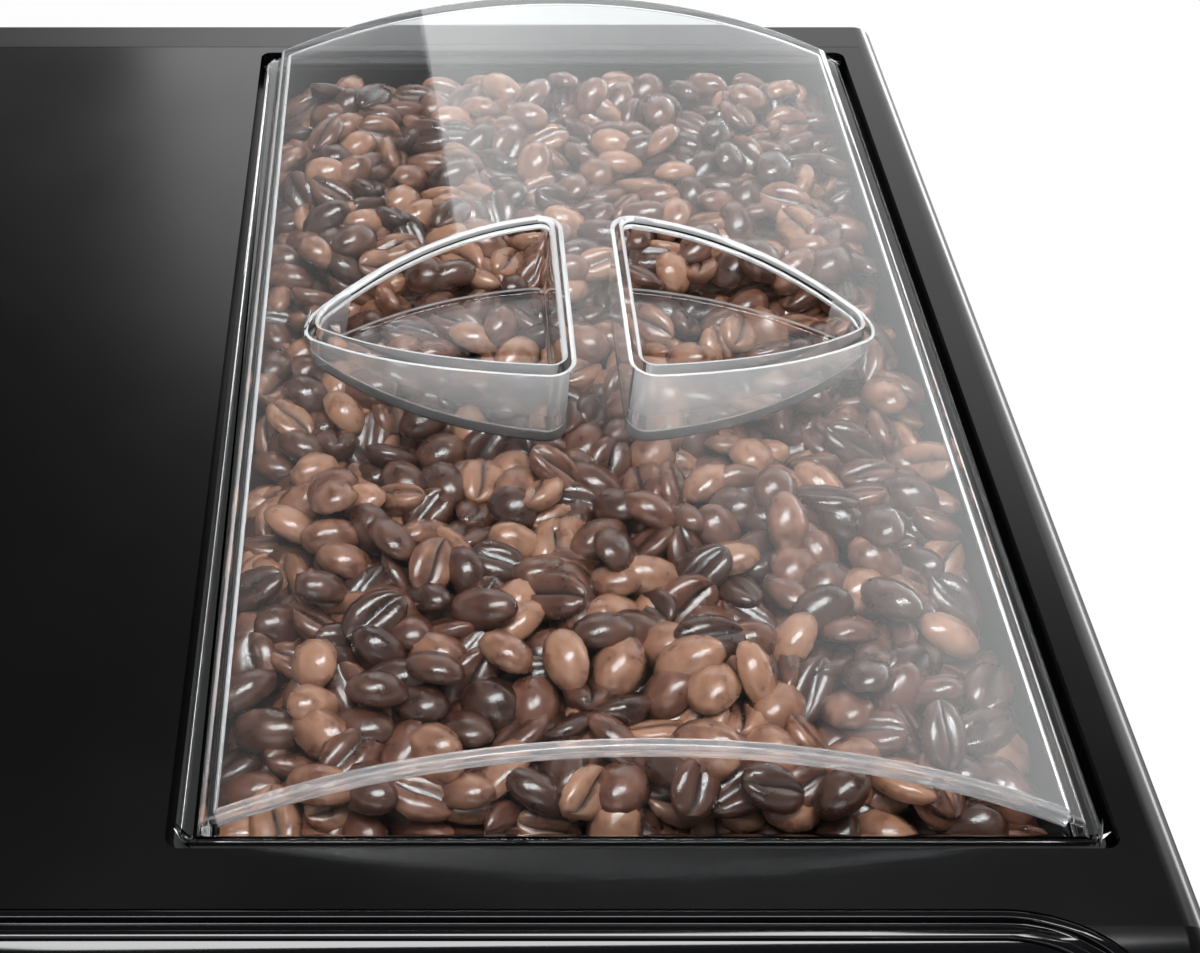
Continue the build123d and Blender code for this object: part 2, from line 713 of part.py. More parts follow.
# Coffee spout that slides up and down on the front cover
spout_back = head_front - runner_gap
with BuildPart() as spout_slide:
    block((spout_x - spout_half, spout_x + spout_half), (spout_front, spout_back), (spout_bottom, spout_top))
    fillet(spout_slide.edges().filter_by(Axis.Z).group_by(Axis.Y)[0], spout_half / 3)
    fillet(spout_slide.faces().sort_by(Axis.Z)[-1].edges().group_by(Axis.Y)[0], wall)
    block((spout_x - spout_half + spout_wall, spout_x + spout_half - spout_wall),
          (spout_front + 3 * spout_wall, spout_back - spout_wall),
          (spout_bottom - overrun, spout_top - 2 * spout_wall), Mode.SUBTRACT)
    top = spout_top
    block((spout_x - runner_neck / 2, spout_x + runner_neck / 2),
          (spout_back, head_front + wall + runner_gap), (top - runner_height, top))
    block((spout_x - runner_head / 2, spout_x + runner_head / 2),
          (head_front + wall + runner_gap, head_front + wall + runner_gap + runner_thickness),
          (top - runner_height, top))
spout_slide.part.label = "spout_slide"
export_step(spout_slide.part, "parts/spout_slide.step")

nozzle_y = (spout_front + spout_back) / 2
with BuildPart() as spout_nozzles:
    nozzle_plate = (spout_bottom + spout_wall, spout_bottom + 2 * spout_wall)
    fit = spout_wall + seam
    block((spout_x - spout_half + fit, spout_x + spout_half - fit),
          (spout_front + 3 * spout_wall + seam, spout_back - fit), nozzle_plate)
    for side in (-1, 1):
        x = spout_x + side * nozzle_pitch / 2
        post(x, nozzle_y, (nozzle_bottom, nozzle_plate[0]), nozzle_radius)
        post(x, nozzle_y, (nozzle_bottom - overrun, nozzle_plate[1] + overrun), nozzle_bore, Mode.SUBTRACT)
spout_nozzles.part.label = "spout_nozzles"
export_step(spout_nozzles.part, "parts/spout_nozzles.step")

# Inner frame: an upright wall beside the tank, and a shelf that carries the grinder and the brewing unit
wall_right = chassis_x + chassis_wall
shelf_top = shelf_height + shelf_thickness
puck_half = 26.0  # opening that drops the spent coffee into the container
hose_hole = hose_radius + 2.0
with BuildPart() as chassis_frame:
    block((chassis_x, wall_right), (niche_back + wall, strip_front), (base_floor, deck_under))
    block((chassis_x, wall_right), (strip_front, rear_inside), (base_floor, deck_height - edge_radius))
    rod_x(hose_y, pump_z, (chassis_x - overrun, wall_right + overrun), hose_hole, Mode.SUBTRACT)
    block((wall_right, inner), (niche_back + wall, rear_inside), (shelf_height, shelf_top))
    block((brew_x - puck_half, brew_x + puck_half), (brew_y - puck_half, brew_y + puck_half),
          (shelf_height - overrun, shelf_top + overrun), Mode.SUBTRACT)
    post(riser_x, pump_y, (shelf_height - overrun, shelf_top + overrun), hose_hole, Mode.SUBTRACT)
chassis_frame.part.label = "chassis_frame"
export_step(chassis_frame.part, "parts/chassis_frame.step")

# Niche liner: the back wall and ceiling of the cup space, open for the tank and the grounds container
notch = runner_head / 2 + 2 * wall
with BuildPart() as niche_liner:
    block((wall_right, inner), (niche_back, niche_back + wall), (shelf_height - wall, head_bottom))
    block((wall_right, bin_left - running_gap), (niche_back, niche_back + wall), (base_top, shelf_height))
    block((bin_right + running_gap, inner), (niche_back, niche_back + wall), (base_top, shelf_height))
    block((-rail, rail), (head_front + wall, niche_back + wall), (head_bottom, head_bottom + wall))
    block((spout_x - notch, spout_x + notch), (head_front, head_front + 3 * wall + runner_thickness),
          (head_bottom - overrun, head_bottom + 2 * wall), Mode.SUBTRACT)
niche_liner.part.label = "niche_liner"
export_step(niche_liner.part, "parts/niche_liner.step")

# Tank bay: a channel on the base that the tank slides on, with the socket for its valve
tank_x = (tank_left + tank_right) / 2
bay_top = tank_bottom - seam
bay_back = tank_back + valve_length + 2 * wall
socket_radius = valve_radius / 2
with BuildPart() as tank_bay:
    block((-inner, chassis_x), (niche_back + wall, bay_back), (base_floor, bay_top))
    block((-inner + wall, chassis_x - wall), (niche_back, bay_back + overrun), (base_floor, bay_top - wall),
          Mode.SUBTRACT)
    block((-inner, chassis_x), (bay_back - wall, bay_back), (bay_top, valve_height + 3 * valve_radius))
    rod_y(tank_x, valve_height, (tank_back + 2 * wall, bay_back), valve_radius)
    rod_y(tank_x, valve_height, (tank_back + valve_length / 4, bay_back), socket_radius)
    rod_y(tank_x, valve_height, (tank_back - overrun, bay_back + overrun), hose_radius / 2, Mode.SUBTRACT)
tank_bay.part.label = "tank_bay"
export_step(tank_bay.part, "parts/tank_bay.step")

# Water tank with its lid, finger recess and valve
grip_recess = 14.0
grip_width = 30.0
grip_tall = 26.0
grip_z = tank_top - grip_tall
with BuildPart() as water_tank:
    block((tank_left, tank_right), (niche_back, tank_back), (tank_bottom, tank_top - tank_lid_thickness))
    fillet(water_tank.edges().filter_by(Axis.Z), wall)
    block((tank_left + tank_wall, tank_right - tank_wall),
          (niche_back + tank_wall + grip_recess, tank_back - tank_wall),
          (tank_bottom + tank_wall, tank_top + overrun), Mode.SUBTRACT)
    block((tank_x - grip_width / 2, tank_x + grip_width / 2),
          (niche_back - overrun, niche_back + grip_recess - tank_wall),
          (grip_z - grip_tall, grip_z), Mode.SUBTRACT)
    block((tank_left + tank_wall, tank_right - tank_wall),
          (niche_back + tank_wall, niche_back + grip_recess + overrun),
          (tank_bottom + tank_wall, grip_z - grip_tall - tank_wall), Mode.SUBTRACT)
    rod_y(tank_x, valve_height, (tank_back - 2 * tank_wall, tank_back + overrun), valve_radius + seam,
          Mode.SUBTRACT)
water_tank.part.label = "water_tank"
export_step(water_tank.part, "parts/water_tank.step")

lid_key = 4.0
with BuildPart() as tank_lid:
    block((tank_left, tank_right), (niche_back, tank_back), (tank_top - tank_lid_thickness, tank_top))
    fillet(tank_lid.edges().filter_by(Axis.Z), wall)
    key = tank_wall + seam
    block((tank_left + key, tank_right - key),
          (niche_back + grip_recess + key, tank_back - key),
          (tank_top - tank_lid_thickness - lid_key, tank_top - tank_lid_thickness))
    block((tank_left + 2 * key, tank_right - 2 * key),
          (niche_back + grip_recess + 2 * key, tank_back - 2 * key),
          (tank_top - tank_lid_thickness - lid_key - overrun, tank_top - tank_lid_thickness), Mode.SUBTRACT)
    post(tank_x, tank_back - 5 * key, (tank_bottom, tank_top + overrun), vent_radius, Mode.SUBTRACT)
tank_lid.part.label = "tank_lid"
export_step(tank_lid.part, "parts/tank_lid.step")

with BuildPart() as tank_valve:
    rod_y(tank_x, valve_height, (tank_back - 2 * tank_wall, tank_back + valve_length / 8), valve_radius)
    rod_y(tank_x, valve_height, (tank_back - valve_length, tank_back - 2 * tank_wall), valve_radius - wall / 2)
    rod_y(tank_x, valve_height, (tank_back - valve_length - overrun, tank_back + overrun), hose_radius,
          Mode.SUBTRACT)
tank_valve.part.label = "tank_valve"
export_step(tank_valve.part, "parts/tank_valve.step")

# Drip tray: a wide front basin, and a narrower rear part that carries the grounds container
tray_corner = 8.0
tray_floor = tray_bottom + tray_wall
pull_width = 80.0
pull_depth = 8.0
pull_height = 12.0
with BuildPart() as drip_tray:
    block((-tray_side, tray_side), (front, tray_step), (tray_bottom, tray_top))
    fillet(drip_tray.edges().filter_by(Axis.Z).group_by(Axis.Y)[0], tray_corner)
    block((tray_rear_left, tray_rear_right), (tray_step, tray_rear), (tray_bottom, tray_top))
    block((-tray_side + 2 * tray_wall, tray_side - 2 * tray_wall),
          (front + 2 * tray_wall + pull_depth, tray_step - tray_wall), (tray_floor, tray_top + overrun),
          Mode.SUBTRACT)
    block((tray_rear_left + tray_wall, tray_rear_right - tray_wall), (tray_step - tray_wall, tray_rear - tray_wall),
          (tray_floor, tray_top + overrun), Mode.SUBTRACT)
    block((-pull_width / 2, pull_width / 2), (front - overrun, front + pull_depth),
          (tray_bottom - overrun, tray_bottom + pull_height), Mode.SUBTRACT)
    post(float_x, float_y, (tray_bottom, tray_top - 2 * tray_wall), float_radius + 2 * tray_wall)
    post(float_x, float_y, (tray_floor, tray_top + overrun), float_radius + running_gap, Mode.SUBTRACT)
    block((float_x - tray_wall, float_x + tray_wall), (float_y - 3 * float_radius, float_y + 3 * float_radius),
          (tray_floor, tray_top - 4 * tray_wall), Mode.SUBTRACT)
drip_tray.part.label = "drip_tray"
export_step(drip_tray.part, "parts/drip_tray.step")

with BuildPart() as tray_float:
    post(float_x, float_y, (tray_floor, tray_top + grid_thickness - running_gap), float_radius)
    fillet(tray_float.faces().sort_by(Axis.Z)[-1].edges(), float_radius / 3)
    post(float_x, float_y, (tray_floor - overrun, tray_top - 2 * tray_wall), float_radius - tray_wall / 2,
         Mode.SUBTRACT)
tray_float.part.label = "tray_float"
export_step(tray_float.part, "parts/tray_float.step")

grid_front = front + tray_corner / 2
grid_back = tray_step - tray_wall / 2
grid_side = tray_side - tray_wall / 2
slot_length = grid_back - grid_front - 6 * grid_bar
slot_count = int((2 * grid_side - 4 * grid_bar) / (grid_bar + grid_slot))
with BuildPart() as drip_grid:
    block((-grid_side, grid_side), (grid_front, grid_back), (tray_top, tray_top + grid_thickness))
    fillet(drip_grid.edges().filter_by(Axis.Z).group_by(Axis.Y)[0], tray_corner - tray_wall)
    grid_middle = (grid_front + grid_back) / 2
    for bar in range(slot_count):
        x = (bar - (slot_count - 1) / 2) * (grid_bar + grid_slot)
        if abs(x - float_x) > float_radius + grid_bar + grid_slot / 2:
            block((x - grid_slot / 2, x + grid_slot / 2), (grid_middle - slot_length / 2, grid_middle - grid_bar / 2),
                  (tray_top - overrun, tray_top + grid_thickness + overrun), Mode.SUBTRACT)
            block((x - grid_slot / 2, x + grid_slot / 2), (grid_middle + grid_bar / 2, grid_middle + slot_length / 2),
                  (tray_top - overrun, tray_top + grid_thickness + overrun), Mode.SUBTRACT)
    post(float_x, float_y, (tray_top - overrun, tray_top + grid_thickness + overrun), float_radius + running_gap,
         Mode.SUBTRACT)
drip_grid.part.label = "drip_grid"
export_step(drip_grid.part, "parts/drip_grid.step")

with BuildPart() as grounds_container:
    block((bin_left, bin_right), (bin_front, bin_back), (tray_floor, bin_top))
    fillet(grounds_container.edges().filter_by(Axis.Z), wall)
    block((bin_left + bin_wall, bin_right - bin_wall), (bin_front + bin_wall, bin_back - bin_wall),
          (tray_floor + bin_wall, bin_top + overrun), Mode.SUBTRACT)
grounds_container.part.label = "grounds_container"
export_step(grounds_container.part, "parts/grounds_container.step")

# Bean hopper: a flange on the ledge of the deck, straight walls and a funnel down to the grinder
flange_low = ledge_top
flange_top = ledge_top + hopper_flange
funnel_top = flange_top - hopper_straight
throat_bottom = grinder_top + seam
throat_top = throat_bottom + neck_height
bowl_inset = hopper_gap + hopper_overhang


def hopper_form(inset, low, high):
    """The inside or outside of the hopper between two heights, drawn in from its outer wall by inset."""
    with BuildPart() as form:
        extrude(opening_face(funnel_top, -bowl_inset - inset), amount=high - funnel_top)
        with BuildSketch(Plane.XY.offset(throat_top)) as throat:
            with Locations((grinder_x, grinder_y)):
                Circle(throat_radius + hopper_wall - inset)
        loft([opening_face(funnel_top, -bowl_inset - inset).faces()[0], throat.sketch.faces()[0]])
        if low < throat_top:
            post(grinder_x, grinder_y, (low, throat_top), throat_radius + hopper_wall - inset)
    return form.part


with BuildPart() as bean_hopper:
    add(hopper_form(0, throat_bottom, flange_low))
    extrude(opening_face(flange_low, -hopper_gap), amount=hopper_flange)
    add(hopper_form(hopper_wall, throat_bottom, flange_top), mode=Mode.SUBTRACT)
bean_hopper.part.label = "bean_hopper"
export_step(bean_hopper.part, "parts/bean_hopper.step")

guard_bar = 2.0
guard_pitch = 9.0
with BuildPart() as finger_guard:
    post(grinder_x, grinder_y, (throat_bottom, throat_top), throat_radius - seam)
    post(grinder_x, grinder_y, (throat_bottom, throat_top), throat_radius - hopper_wall, Mode.SUBTRACT)
    for row in (-2, -1, 0, 1, 2):
        x = grinder_x + row * guard_pitch
        block((x - guard_bar / 2, x + guard_bar / 2),
              (grinder_y - throat_radius + hopper_wall, grinder_y + throat_radius - hopper_wall),
              (throat_bottom, throat_bottom + 2 * guard_bar))
    post(grinder_x, grinder_y, (throat_bottom, throat_top), throat_radius - seam, Mode.INTERSECT)
finger_guard.part.label = "finger_guard"
export_step(finger_guard.part, "parts/finger_guard.step")

bean_top = flange_top - bean_gap
with BuildPart() as coffee_beans:
    add(hopper_form(hopper_wall + bean_gap, throat_bottom, bean_top))
    post(grinder_x, grinder_y, (throat_bottom - overrun, throat_top + bean_gap), throat_radius + hopper_wall,
         Mode.SUBTRACT)
coffee_beans.part.label = "coffee_beans"
export_step(coffee_beans.part, "parts/coffee_beans.step")

# Clear lid: a flange in the deck opening, an arch along Y, leaning end walls and two finger pockets
lid_left = opening_left + lid_gap
lid_right = opening_right - lid_gap
lid_front = opening_front + lid_gap
lid_back = opening_back - lid_gap
lid_low = flange_top + seal_height
lid_side_top = deck_height + lid_side_height
lid_apex = lid_side_top + lid_rise
lid_middle = (lid_left + lid_right) / 2


def lid_form(inset):
    """The outer or inner skin of the lid as a solid, drawn in from its outside by inset."""
    left = lid_left + lid_flange_width + inset
    right = lid_right - lid_flange_width - inset
    side = lid_side_top - inset / 2
    ends = (lid_front + inset, lid_back - inset)
    with BuildPart() as form:
        with BuildSketch(Plane.XZ.offset(-lid_front)):
            with BuildLine():
                Polyline((left, side), (left, lid_low), (right, lid_low), (right, side))
                ThreePointArc((right, side), (lid_middle, lid_apex - inset), (left, side))
            make_face()
        extrude(amount=lid_front - lid_back)
        with BuildSketch(Plane.YZ.offset(lid_left)):
            Polygon((ends[0], lid_low), (ends[1], lid_low), (ends[1] - lid_lean, lid_apex),
                    (ends[0] + lid_lean, lid_apex), align=None)
        extrude(amount=lid_right - lid_left, mode=Mode.INTERSECT)
    return form.part


def grip_face(height, grow):
    """Plan of the two finger pockets, split by the bridge, larger all round by grow."""
    half_length = grip_length / 2 + grow * sqrt(2)  # the tips are nearly square
    low = grip_front - grow
    high = grip_back + grow
    with BuildSketch(Plane.XY.offset(height)) as outline:
        with BuildLine():
            ThreePointArc((lid_middle + half_length, grip_tips), (lid_middle, high),
                          (lid_middle - half_length, grip_tips))
            ThreePointArc((lid_middle - half_length, grip_tips), (lid_middle, low),
                          (lid_middle + half_length, grip_tips))
        make_face()
        bridge_front = grip_bridge_front / 2 - grow
        bridge_back = grip_bridge_back / 2 - grow
        Polygon((lid_middle - bridge_front, grip_front - overrun), (lid_middle + bridge_front, grip_front - overrun),
                (lid_middle + bridge_back, grip_back + overrun), (lid_middle - bridge_back, grip_back + overrun),
                align=None, mode=Mode.SUBTRACT)
        fillet(outline.vertices().filter_by(lambda corner: abs(corner.X - lid_middle) < grip_bridge_back),
               grip_corner + grow)
        corners = outline.vertices().sort_by(Axis.X)
        fillet([corners[0], corners[-1]], grip_tip_corner + grow)
    return outline.sketch


pocket_floor = lid_low + grip_floor_wall + seam
with BuildPart() as hopper_lid:
    add(lid_form(0))
    with BuildSketch(Plane.XY.offset(lid_low)):
        with Locations((lid_middle, (lid_front + lid_back) / 2)):
            RectangleRounded(lid_right - lid_left, lid_back - lid_front, lid_gap)
    extrude(amount=lid_flange)
    add(lid_form(lid_wall), mode=Mode.SUBTRACT)
    with BuildPart(mode=Mode.PRIVATE) as tubs:
        extrude(grip_face(lid_low + seam, grip_floor_wall), amount=lid_apex - lid_low)
        add(lid_form(lid_wall / 2), mode=Mode.INTERSECT)
    add(tubs.part)
    extrude(grip_face(pocket_floor, 0), amount=lid_apex, mode=Mode.SUBTRACT)
hopper_lid.part.label = "hopper_lid"
export_step(hopper_lid.part, "parts/hopper_lid.step")

with BuildPart() as lid_seal:
    for inset, mode in ((seal_width / 4, Mode.ADD), (seal_width * 5 / 4, Mode.SUBTRACT)):
        with BuildSketch(Plane.XY.offset(flange_top)) as ring:
            with Locations((lid_middle, (lid_front + lid_back) / 2)):
                RectangleRounded(lid_right - lid_left - 2 * inset, lid_back - lid_front - 2 * inset, lid_gap)
        extrude(amount=seal_height, mode=mode)
lid_seal.part.label = "lid_seal"
export_step(lid_seal.part, "parts/lid_seal.step")

# Grinder: housing, adjustable upper burr in its ring, lower burr on the motor shaft
ring_top = grinder_top - 2 * burr_gap - hopper_wall - seam * 2
burr_seat_radius = 28.0
ring_shoulder = 24.0
upper_burr_low = ring_seat + hopper_wall
lower_burr_high = upper_burr_low - burr_gap
port_half = 8.0
port_low = burr_chamber_bottom + hopper_wall
port_high = port_low + burr_height
chute_start = grinder_y - grinder_radius - seam
with BuildPart() as grinder_housing:
    post(grinder_x, grinder_y, (grinder_bottom, grinder_top), grinder_radius)
    post(grinder_x, grinder_y, (grinder_bottom - overrun, grinder_top), shaft_radius + shaft_fit, Mode.SUBTRACT)
    post(grinder_x, grinder_y, (burr_chamber_bottom, ring_seat), burr_chamber_radius, Mode.SUBTRACT)
    post(grinder_x, grinder_y, (ring_seat, ring_top + seam), ring_radius + ring_fit, Mode.SUBTRACT)
    post(grinder_x, grinder_y, (ring_top, grinder_top + overrun), throat_radius, Mode.SUBTRACT)
    block((grinder_x - port_half, grinder_x + port_half), (chute_start - overrun, grinder_y),
          (port_low, port_high), Mode.SUBTRACT)
    with BuildSketch(Plane.XY.offset(lever_low - running_gap)) as sector:
        slot_swing = lever_swing + lever_play
        reach = (grinder_radius + overrun) / cos(radians(slot_swing))
        spread = reach * sin(radians(slot_swing)) + lever_width / 2
        with Locations((grinder_x, grinder_y)):
            Polygon((-lever_width / 2, 0), (lever_width / 2, 0), (spread, reach), (-spread, reach), align=None)
    extrude(amount=lever_height + 2 * running_gap, mode=Mode.SUBTRACT)
grinder_housing.part.label = "grinder_housing"
export_step(grinder_housing.part, "parts/grinder_housing.step")

lever_tip = rear - lever_tip_gap
with BuildPart() as grind_ring:
    post(grinder_x, grinder_y, (ring_seat + ring_fit, ring_top), ring_radius)
    block((grinder_x - lever_width / 2, grinder_x + lever_width / 2), (grinder_y + ring_radius - wall, lever_tip),
          (lever_low, lever_low + lever_height))
    fillet(grind_ring.edges().filter_by(Axis.Z).group_by(Axis.Y)[-1], lever_width / 3)
    post(grinder_x, grinder_y, (ring_seat, ring_top + overrun), ring_shoulder, Mode.SUBTRACT)
    post(grinder_x, grinder_y, (ring_seat, upper_burr_low + burr_height + ring_fit), burr_seat_radius + ring_fit,
         Mode.SUBTRACT)
grind_ring.part.label = "grind_ring"
export_step(grind_ring.part, "parts/grind_ring.step")


def cut_teeth(low, inside, outside):
    """Radial grooves between two radii at a height, for the face of a burr."""
    with BuildPart() as grooves:
        with Locations(Location((grinder_x, grinder_y, low))):
            with PolarLocations(0, tooth_count):
                with Locations(((inside + outside) / 2, 0)):
                    Box(outside - inside, tooth_width, tooth_depth,
                        align=(Align.CENTER, Align.CENTER, Align.MIN))
    return grooves.part


with BuildPart() as upper_burr:
    post(grinder_x, grinder_y, (upper_burr_low, upper_burr_low + burr_height), burr_seat_radius)
    post(grinder_x, grinder_y, (upper_burr_low - overrun, upper_burr_low + burr_height + overrun), burr_eye,
         Mode.SUBTRACT)
    add(cut_teeth(upper_burr_low - tooth_depth / 2, burr_eye - wall, burr_radius - wall), mode=Mode.SUBTRACT)
upper_burr.part.label = "upper_burr"
export_step(upper_burr.part, "parts/upper_burr.step")

lower_burr_low = lower_burr_high - burr_height
with BuildPart() as lower_burr:
    post(grinder_x, grinder_y, (lower_burr_low, lower_burr_high), burr_radius)
    post(grinder_x, grinder_y, (lower_burr_low - overrun, lower_burr_high + overrun), shaft_radius, Mode.SUBTRACT)
    add(cut_teeth(lower_burr_high - tooth_depth, shaft_radius + wall, burr_radius + wall), mode=Mode.SUBTRACT)
lower_burr.part.label = "lower_burr"
export_step(lower_burr.part, "parts/lower_burr.step")

shaft_bottom = grinder_bottom - 12 * wall
nut_radius = 8.0
with BuildPart() as grinder_shaft:
    post(grinder_x, grinder_y, (shaft_bottom, lower_burr_high + 2 * wall), shaft_radius)
    with BuildSketch(Plane.XY.offset(lower_burr_high)):
        with Locations((grinder_x, grinder_y)):
            RegularPolygon(nut_radius, 6)
    extrude(amount=wall)
grinder_shaft.part.label = "grinder_shaft"
export_step(grinder_shaft.part, "parts/grinder_shaft.step")

with BuildPart() as grinder_motor:
    post(grinder_x, grinder_y, (shelf_top, grinder_bottom - wall), motor_radius)
    post(grinder_x, grinder_y, (grinder_bottom - wall, grinder_bottom), motor_radius / 2)
    post(grinder_x, grinder_y, (shaft_bottom - seam, grinder_bottom + overrun), shaft_radius + shaft_fit,
         Mode.SUBTRACT)
grinder_motor.part.label = "grinder_motor"
export_step(grinder_motor.part, "parts/grinder_motor.step")

# Chute from the grinder down to the brewing chamber
chute_wall = 1.6
chute_end = brew_y + chamber_radius + running_gap + hopper_wall / 2
chute_low = chamber_top + 2 * hopper_wall
chute_tall = port_high - port_low + 2 * chute_wall


def chute_form(grow):
    """Sloping passage of the chute, larger by grow."""
    with BuildPart() as form:
        with BuildSketch(Plane.YZ.offset(grinder_x - port_half - grow)):
            Polygon((chute_start, port_low - grow), (chute_start, port_high + grow),
                    (chute_end, chute_low + chute_tall), (chute_end, chute_low + 2 * chute_wall - 2 * grow),
                    align=None)
        extrude(amount=2 * port_half + 2 * grow)
    return form.part


with BuildPart() as coffee_chute:
    add(chute_form(chute_wall))
    with BuildPart(mode=Mode.PRIVATE) as passage:
        add(chute_form(0))
        block((grinder_x - port_half, grinder_x + port_half), (chute_end - overrun, chute_end + chute_wall),
              (chute_low + 2 * chute_wall, chute_low + chute_tall - chute_wall))
    add(passage.part, mode=Mode.SUBTRACT)
coffee_chute.part.label = "coffee_chute"
export_step(coffee_chute.part, "parts/coffee_chute.step")

# Brewing unit: frame, tilting chamber, piston on a crosshead, and its spindle with the gear motor
frame_low = shelf_top + brew_plate
trunnion_z = (chamber_bottom + chamber_top) / 2
with BuildPart() as brew_frame:
    block((brew_left, brew_right), (brew_front, brew_back), (shelf_top, frame_low))
    block((brew_left, brew_right), (brew_front, brew_back), (brew_top - brew_plate, brew_top))
    for low in (brew_left, brew_right - brew_plate):
        block((low, low + brew_plate), (brew_front, brew_back), (frame_low, brew_top - brew_plate))
    post(brew_x, brew_y, (shelf_top - overrun, frame_low + overrun), chamber_bore + wall, Mode.SUBTRACT)
    rod_x(brew_y, trunnion_z, (brew_left - overrun, brew_right + overrun), trunnion_radius + piston_fit,
          Mode.SUBTRACT)
    post(spindle_x, spindle_y, (brew_top - 2 * brew_plate, brew_top + overrun), spindle_radius + piston_fit,
         Mode.SUBTRACT)
    block((grinder_x - port_half - 2 * wall, grinder_x + port_half + 2 * wall),
          (brew_y + chamber_radius, brew_back + overrun),
          (brew_top - 2 * brew_plate, brew_top + overrun), Mode.SUBTRACT)
brew_frame.part.label = "brew_frame"
export_step(brew_frame.part, "parts/brew_frame.step")

with BuildPart() as brew_chamber:
    post(brew_x, brew_y, (chamber_bottom, chamber_top), chamber_radius)
    rod_x(brew_y, trunnion_z, (brew_left + seam, brew_x), trunnion_radius)
    rod_x(brew_y, trunnion_z, (brew_x, brew_right - seam), trunnion_radius)
    post(brew_x, brew_y, (chamber_bottom + wall, chamber_top + overrun), chamber_bore, Mode.SUBTRACT)
brew_chamber.part.label = "brew_chamber"
export_step(brew_chamber.part, "parts/brew_chamber.step")

head_low = piston_bottom + piston_height + piston_neck
with BuildPart() as brew_piston:
    post(brew_x, brew_y, (piston_bottom, piston_bottom + piston_height), chamber_bore - piston_fit)
    post(brew_x, brew_y, (piston_bottom, head_low + crosshead_height), chamber_bore / 2)
    arm = Vector(spindle_x, spindle_y) - Vector(brew_x, brew_y)
    with BuildSketch(Plane.XY.offset(head_low)):
        with Locations(((brew_x + spindle_x) / 2, (brew_y + spindle_y) / 2)):
            SlotCenterToCenter(arm.length, 4 * spindle_radius, rotation=degrees(atan2(arm.Y, arm.X)))
    extrude(amount=crosshead_height)
    post(spindle_x, spindle_y, (head_low - overrun, head_low + crosshead_height + overrun),
         spindle_radius + piston_fit, Mode.SUBTRACT)
brew_piston.part.label = "brew_piston"
export_step(brew_piston.part, "parts/brew_piston.step")

with BuildPart() as brew_spindle:
    post(spindle_x, spindle_y, (frame_low + seam, brew_top + gear_motor_height / 2), spindle_radius)
brew_spindle.part.label = "brew_spindle"
export_step(brew_spindle.part, "parts/brew_spindle.step")

with BuildPart() as gear_motor:
    reach = gear_motor_side / 2
    block((spindle_x - reach, spindle_x + reach), (spindle_y - reach + wall, spindle_y + reach),
          (brew_top, brew_top + gear_motor_height))
    post(spindle_x, spindle_y, (brew_top + gear_motor_height, brew_top + gear_motor_height + gear_can_height),
         gear_can_radius)
    post(spindle_x, spindle_y, (brew_top - overrun, brew_top + gear_motor_height / 2 + seam),
         spindle_radius + piston_fit, Mode.SUBTRACT)
gear_motor.part.label = "gear_motor"
export_step(gear_motor.part, "parts/gear_motor.step")

# Water path: flow meter, pump on its mounts, heater and hoses
meter_width = 16.0
meter_side = 20.0
meter_low = hose_y - meter_side / 2
with BuildPart() as flow_meter:
    block((wall_right, wall_right + meter_width), (meter_low, meter_low + meter_side),
          (pump_z - meter_side / 2, pump_z + meter_side / 2))
    fillet(flow_meter.edges().filter_by(Axis.X), meter_side / 3)
flow_meter.part.label = "flow_meter"
export_step(flow_meter.part, "parts/flow_meter.step")

pump_neck = 14.0
with BuildPart() as water_pump:
    rod_x(pump_y, pump_z, (pump_left + pump_neck, pump_right - pump_neck), pump_radius)
    rod_x(pump_y, pump_z, (pump_left, pump_right), pump_radius / 3)
water_pump.part.label = "water_pump"
export_step(water_pump.part, "parts/water_pump.step")

mount_width = 12.0
with BuildPart() as pump_mounts:
    for x in (pump_left + 2 * pump_neck, pump_right - 2 * pump_neck):
        block((x - mount_width / 2, x + mount_width / 2), (pump_y - mount_width, pump_y + mount_width),
              (base_floor, pump_z - pump_radius / 2))
    rod_x(pump_y, pump_z, (pump_left, pump_right), pump_radius + seam, Mode.SUBTRACT)
pump_mounts.part.label = "pump_mounts"
export_step(pump_mounts.part, "parts/pump_mounts.step")

fin_count = 6
with BuildPart() as water_heater:
    block((wall_right + wall, heater_x), (heater_front, heater_back), (heater_bottom, heater_top))
    fillet(water_heater.edges().filter_by(Axis.Z), wall)
    for y in (heater_front + 4 * wall, heater_back - 4 * wall):
        block((wall_right, wall_right + wall + overrun), (y - 2 * wall, y + 2 * wall),
              (heater_bottom + 4 * wall, heater_top - 4 * wall))
    fin_pitch = (heater_back - heater_front) / (fin_count + 1)
    for fin in range(fin_count):
        y = heater_front + (fin + 1) * fin_pitch
        block((wall_right + 4 * wall, heater_x + overrun), (y - wall / 2, y + wall / 2),
              (heater_top - 2 * wall, heater_top + overrun), Mode.SUBTRACT)
water_heater.part.label = "water_heater"
export_step(water_heater.part, "parts/water_heater.step")

